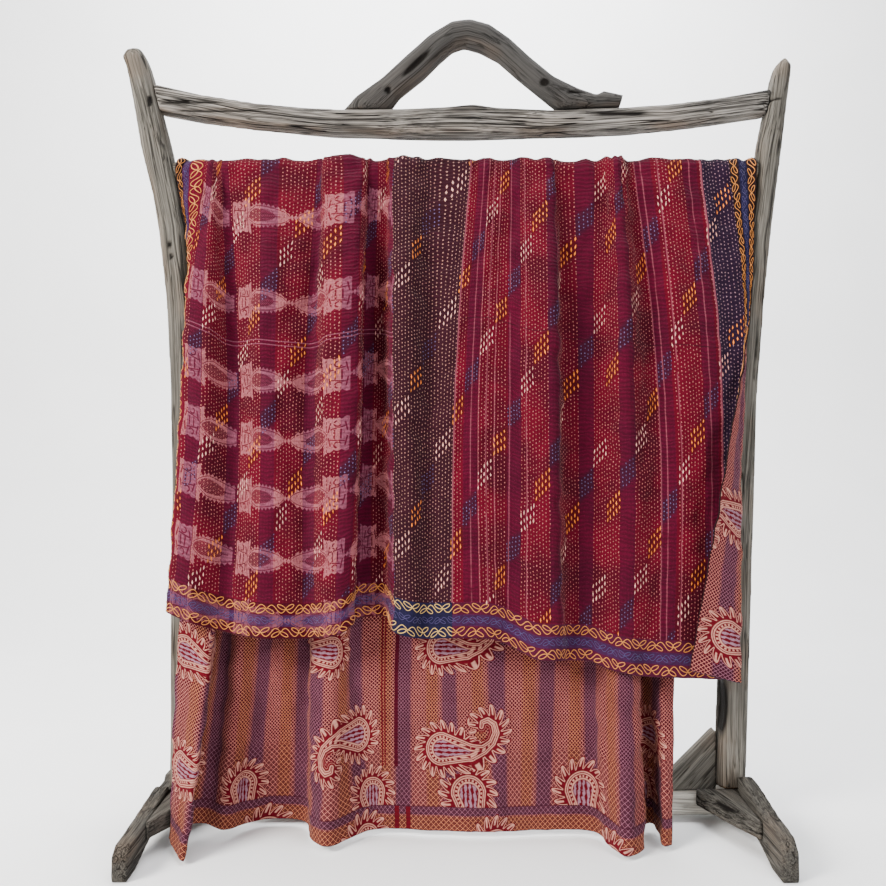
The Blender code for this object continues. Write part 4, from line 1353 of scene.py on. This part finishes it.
def paisley_group():
    """A paisley: a drop with a curled tail, rings of dots and lines inside it and long flames outside."""
    ends, (x, y) = new_group("paisley", ("Shape", "Light", "Centre"), Across=1.0, Along=1.0)
    edge = limb(x, y, PAISLEY_LINE[0], PAISLEY_LINE[1])
    for low, high in zip(PAISLEY_LINE[1:], PAISLEY_LINE[2:]):
        edge = edge.least(limb(x, y, low, high))
    tail = x.above(0.048, 0.0001)
    from_curl = x - CURL_PLACE[0], y - CURL_PLACE[1]
    turn = y.bearing(x) * 8.0 * (1.0 - tail) + from_curl[1].bearing(from_curl[0]) * 7.0 * tail
    wave = abs((turn + edge * 85.0).sine())
    limit = wave * from_curl[0].length(from_curl[1]).above(0.020, 0.005) * 0.0185 + 0.0030
    slack = (1.0 - wave) * 0.0030
    over = edge - limit
    stroke = wave.above(0.95, 0.04) * edge.above(0.0065, 0.001)
    flame = (over + slack * 1.8).above(-0.0020, 0.0006).most(stroke) * over.below(0.0, 0.0005)
    flame = flame * edge.above(0.0026, 0.0006)
    dots = edge.near(-0.0084, 0.0016, 0.0006) * (turn * 2.6).sine().above(0.0, 0.5)
    lines = edge.near(-0.0014, 0.0009, 0.0006).most(edge.near(-0.0046, 0.0009, 0.0006))
    lines = lines.most(edge.near(-0.0118, 0.0012, 0.0006))
    warp = (noise(pair(x, y), 130.0, 1.0) - 0.5) * 9.0
    columns = (x * (2 * math.pi / 0.014) + warp).sine()
    blocks = columns * 0.5 + (y * (2 * math.pi / 0.0072) + warp * 0.5).sine()
    feed_all(
        ends, Shape=(over - slack).below(0.0020, 0.0006), Light=flame.most(dots).most(lines),
        Centre=edge.below(-0.0140, 0.001) * blocks.above(0.0, 0.45))


def lining_material(cloth, colours):
    """The lining: a woven ground of small diamonds in soft stripes, with paisleys and a striped hem."""
    _, shader = new_material("kantha_lining")
    u, v = flat_map(shader, "flat")
    diamond = use_group(shader, "diamond_weave", Across=u, Along=v)
    stripe = (u - 0.153) % 0.0905
    hem = v.above(LINING_HEM, 0.0006)
    purple = blend(hem, stripe.within(0.004, 0.034, 0.004), v.below(2.104, 0.001))
    orange = blend(hem, stripe.within(0.064, 0.087, 0.004), v.above(2.106, 0.001))
    pale = coats(colours.salmon, (purple, colours.lilac), (orange, colours.orange))
    motif = use_group(shader, "paisley", **dict(zip(("Across", "Along"), flat_map(shader, "paisley"))))
    threads = noise(pair(u, v * 0.4), 620.0, 1.0).above(0.30, 0.20) * 0.45 + 0.50
    pattern = coats(
        colours.red, (threads * motif["Light"], colours.cream), (threads * motif["Centre"], colours.seed))
    front = v.below(2.022)
    lines = u.near(0.5840, 0.0013).most(u.near(0.5895, 0.0013)) * front
    bars = u.near(0.612, 0.0045).most(u.near(0.634, 0.0045)) * hem
    field = coats(
        blend(purple, colours.brick, colours.wine),
        (diamond["Line"], pale),
        (motif["Shape"], pattern),
        (lines.most(bars), colours.red),
        (u.near(0.6110, 0.0036) * front, colours.maroon),
        (v.near(LINING_HEM, 0.0009) * 0.7, colours.wine),
    )
    # ripple sets how strong the painted ripple shade is
    finish_cloth(cloth, shader, u, v, field, ripple=0.15, depth=0.0009)


# ---- The stage ----


Light = namedtuple("Light", "name place target size power colour")


def add_light(light):
    """A soft square light that faces its target."""
    data = bpy.data.lights.new(light.name, "AREA")
    data.shape = "SQUARE"
    data.size = light.size
    data.energy = light.power
    data.color = light.colour
    item = add_object(light.name, data)
    item.location = light.place
    x, y, z = np.array(light.target) - np.array(light.place)
    item.rotation_euler = (math.atan2(math.hypot(x, y), -z), 0.0, math.atan2(y, x) - math.pi / 2)


def make_stage(look):
    """A pale sweep of floor and wall, soft lights, and the camera."""
    _, shader = new_material("stage_paper")
    mottle = noise(add_node(shader, "ShaderNodeTexCoord").outputs["Object"], 3.0, 3.0)
    feed_all(shader.inputs, Base_Color=shade(look.floor, 0.96 + mottle * 0.08), Roughness=0.8 + mottle * 0.1)
    reach, back, bend = 7.0, 2.6, 1.2
    turns = [math.pi / 2 * step / 12 for step in range(13)]
    profile = [(back - bend + bend * math.sin(turn), bend - bend * math.cos(turn)) for turn in turns]
    profile = [(-reach, 0.0), *profile, (back, 6.0)]
    points = [(x, y, z) for y, z in profile for x in (-reach, reach)]
    faces = [(2 * k, 2 * k + 1, 2 * k + 3, 2 * k + 2) for k in range(len(profile) - 1)]
    add_object("stage_floor", new_mesh("stage_floor", points, faces, "stage_paper"))
    middle = (0.0, 0.0, 0.7)
    for light in (
        Light("key_light", (-2.7, -1.9, 2.4), middle, 1.4, look.key, (1.0, 0.97, 0.93)),
        Light("fill_light", (2.0, -2.4, 1.7), middle, 1.6, look.fill, (0.93, 0.96, 1.0)),
        Light("wall_light", (0.0, 0.6, 3.6), (0.0, 2.6, 1.2), 2.2, look.wall, (0.97, 0.98, 1.0)),
    ):
        add_light(light)
    world = bpy.data.worlds.new("studio_air")
    world.use_nodes = True
    feed_all(world.node_tree.nodes["Background"].inputs, Color=(1.0, 1.0, 1.0), Strength=look.sky)
    bpy.context.scene.world = world
    data = bpy.data.cameras.new("quilt_camera")
    data.lens = look.lens
    data.sensor_width = 36.0
    data.sensor_fit = "HORIZONTAL"
    camera = add_object("quilt_camera", data)
    camera.location = look.eye
    camera.rotation_euler = (math.pi / 2, 0.0, 0.0)
    bpy.context.scene.camera = camera


# ---- Operators and panel ----


class QUILTRACK_OT_stage(bpy.types.Operator):
    """Lays the floor and sets the lights and the camera"""

    bl_idname = "quilt_rack.stage"
    bl_label = "Set the Stage"
    bl_options = {"REGISTER", "UNDO"}

    def execute(self, context):
        make_stage(context.scene.rack_stage)
        return {"FINISHED"}


class QUILTRACK_OT_wood(bpy.types.Operator):
    """Finishes the rack in old grey wood"""

    bl_idname = "quilt_rack.wood"
    bl_label = "Finish the Wood"
    bl_options = {"REGISTER", "UNDO"}

    def execute(self, context):
        finish_wood(context.scene.rack_wood)
        return {"FINISHED"}


class QUILTRACK_OT_quilt(bpy.types.Operator):
    """Hangs the quilt over the bar, with its stitches and braids"""

    bl_idname = "quilt_rack.quilt"
    bl_label = "Hang the Quilt"
    bl_options = {"REGISTER", "UNDO"}

    def execute(self, context):
        cloth = context.scene.quilt_sizes
        colours = context.scene.quilt_colours
        cloth_weave_group()
        flower_sprig_group()
        diamond_weave_group()
        paisley_group()
        face_material(cloth, colours)
        lining_material(cloth, colours)
        thread_material()
        drape, face, lining = make_cloth(cloth)
        pieces = [lining, *make_stitches(cloth, colours, drape), *make_braids(cloth, colours, drape)]
        return {"FINISHED"}


class QUILTRACK_PT_panel(bpy.types.Panel):
    """The quilt rack's steps and settings"""

    bl_idname = "QUILTRACK_PT_panel"
    bl_label = "Quilt Rack"
    bl_space_type = "VIEW_3D"
    bl_region_type = "UI"
    bl_category = "Quilt Rack"

    def draw(self, context):
        layout = self.layout
        for operator in STEPS:
            layout.operator(operator.bl_idname)
        for name in SETTINGS:
            group = getattr(context.scene, name)
            column = layout.column(heading=name.replace("_", " ").capitalize())
            for label in group.__annotations__:
                column.prop(group, label)


STEPS = (QUILTRACK_OT_stage, QUILTRACK_OT_wood, QUILTRACK_OT_quilt)
SETTINGS = {
    "quilt_sizes": ClothSizes,
    "quilt_colours": ClothColours,
    "rack_wood": WoodColours,
    "rack_stage": StageLook,
}


def register():
    for group in (*SETTINGS.values(), *STEPS, QUILTRACK_PT_panel):
        bpy.utils.register_class(group)
    for name, group in SETTINGS.items():
        setattr(bpy.types.Scene, name, bpy.props.PointerProperty(type=group))


def unregister():
    for name in SETTINGS:
        delattr(bpy.types.Scene, name)
    for group in reversed((*SETTINGS.values(), *STEPS, QUILTRACK_PT_panel)):
        bpy.utils.unregister_class(group)


def main():
    """Runs every step."""
    register()
    bpy.ops.quilt_rack.stage()
    bpy.ops.quilt_rack.wood()
    bpy.ops.quilt_rack.quilt()


if __name__ == "__main__":
    main()
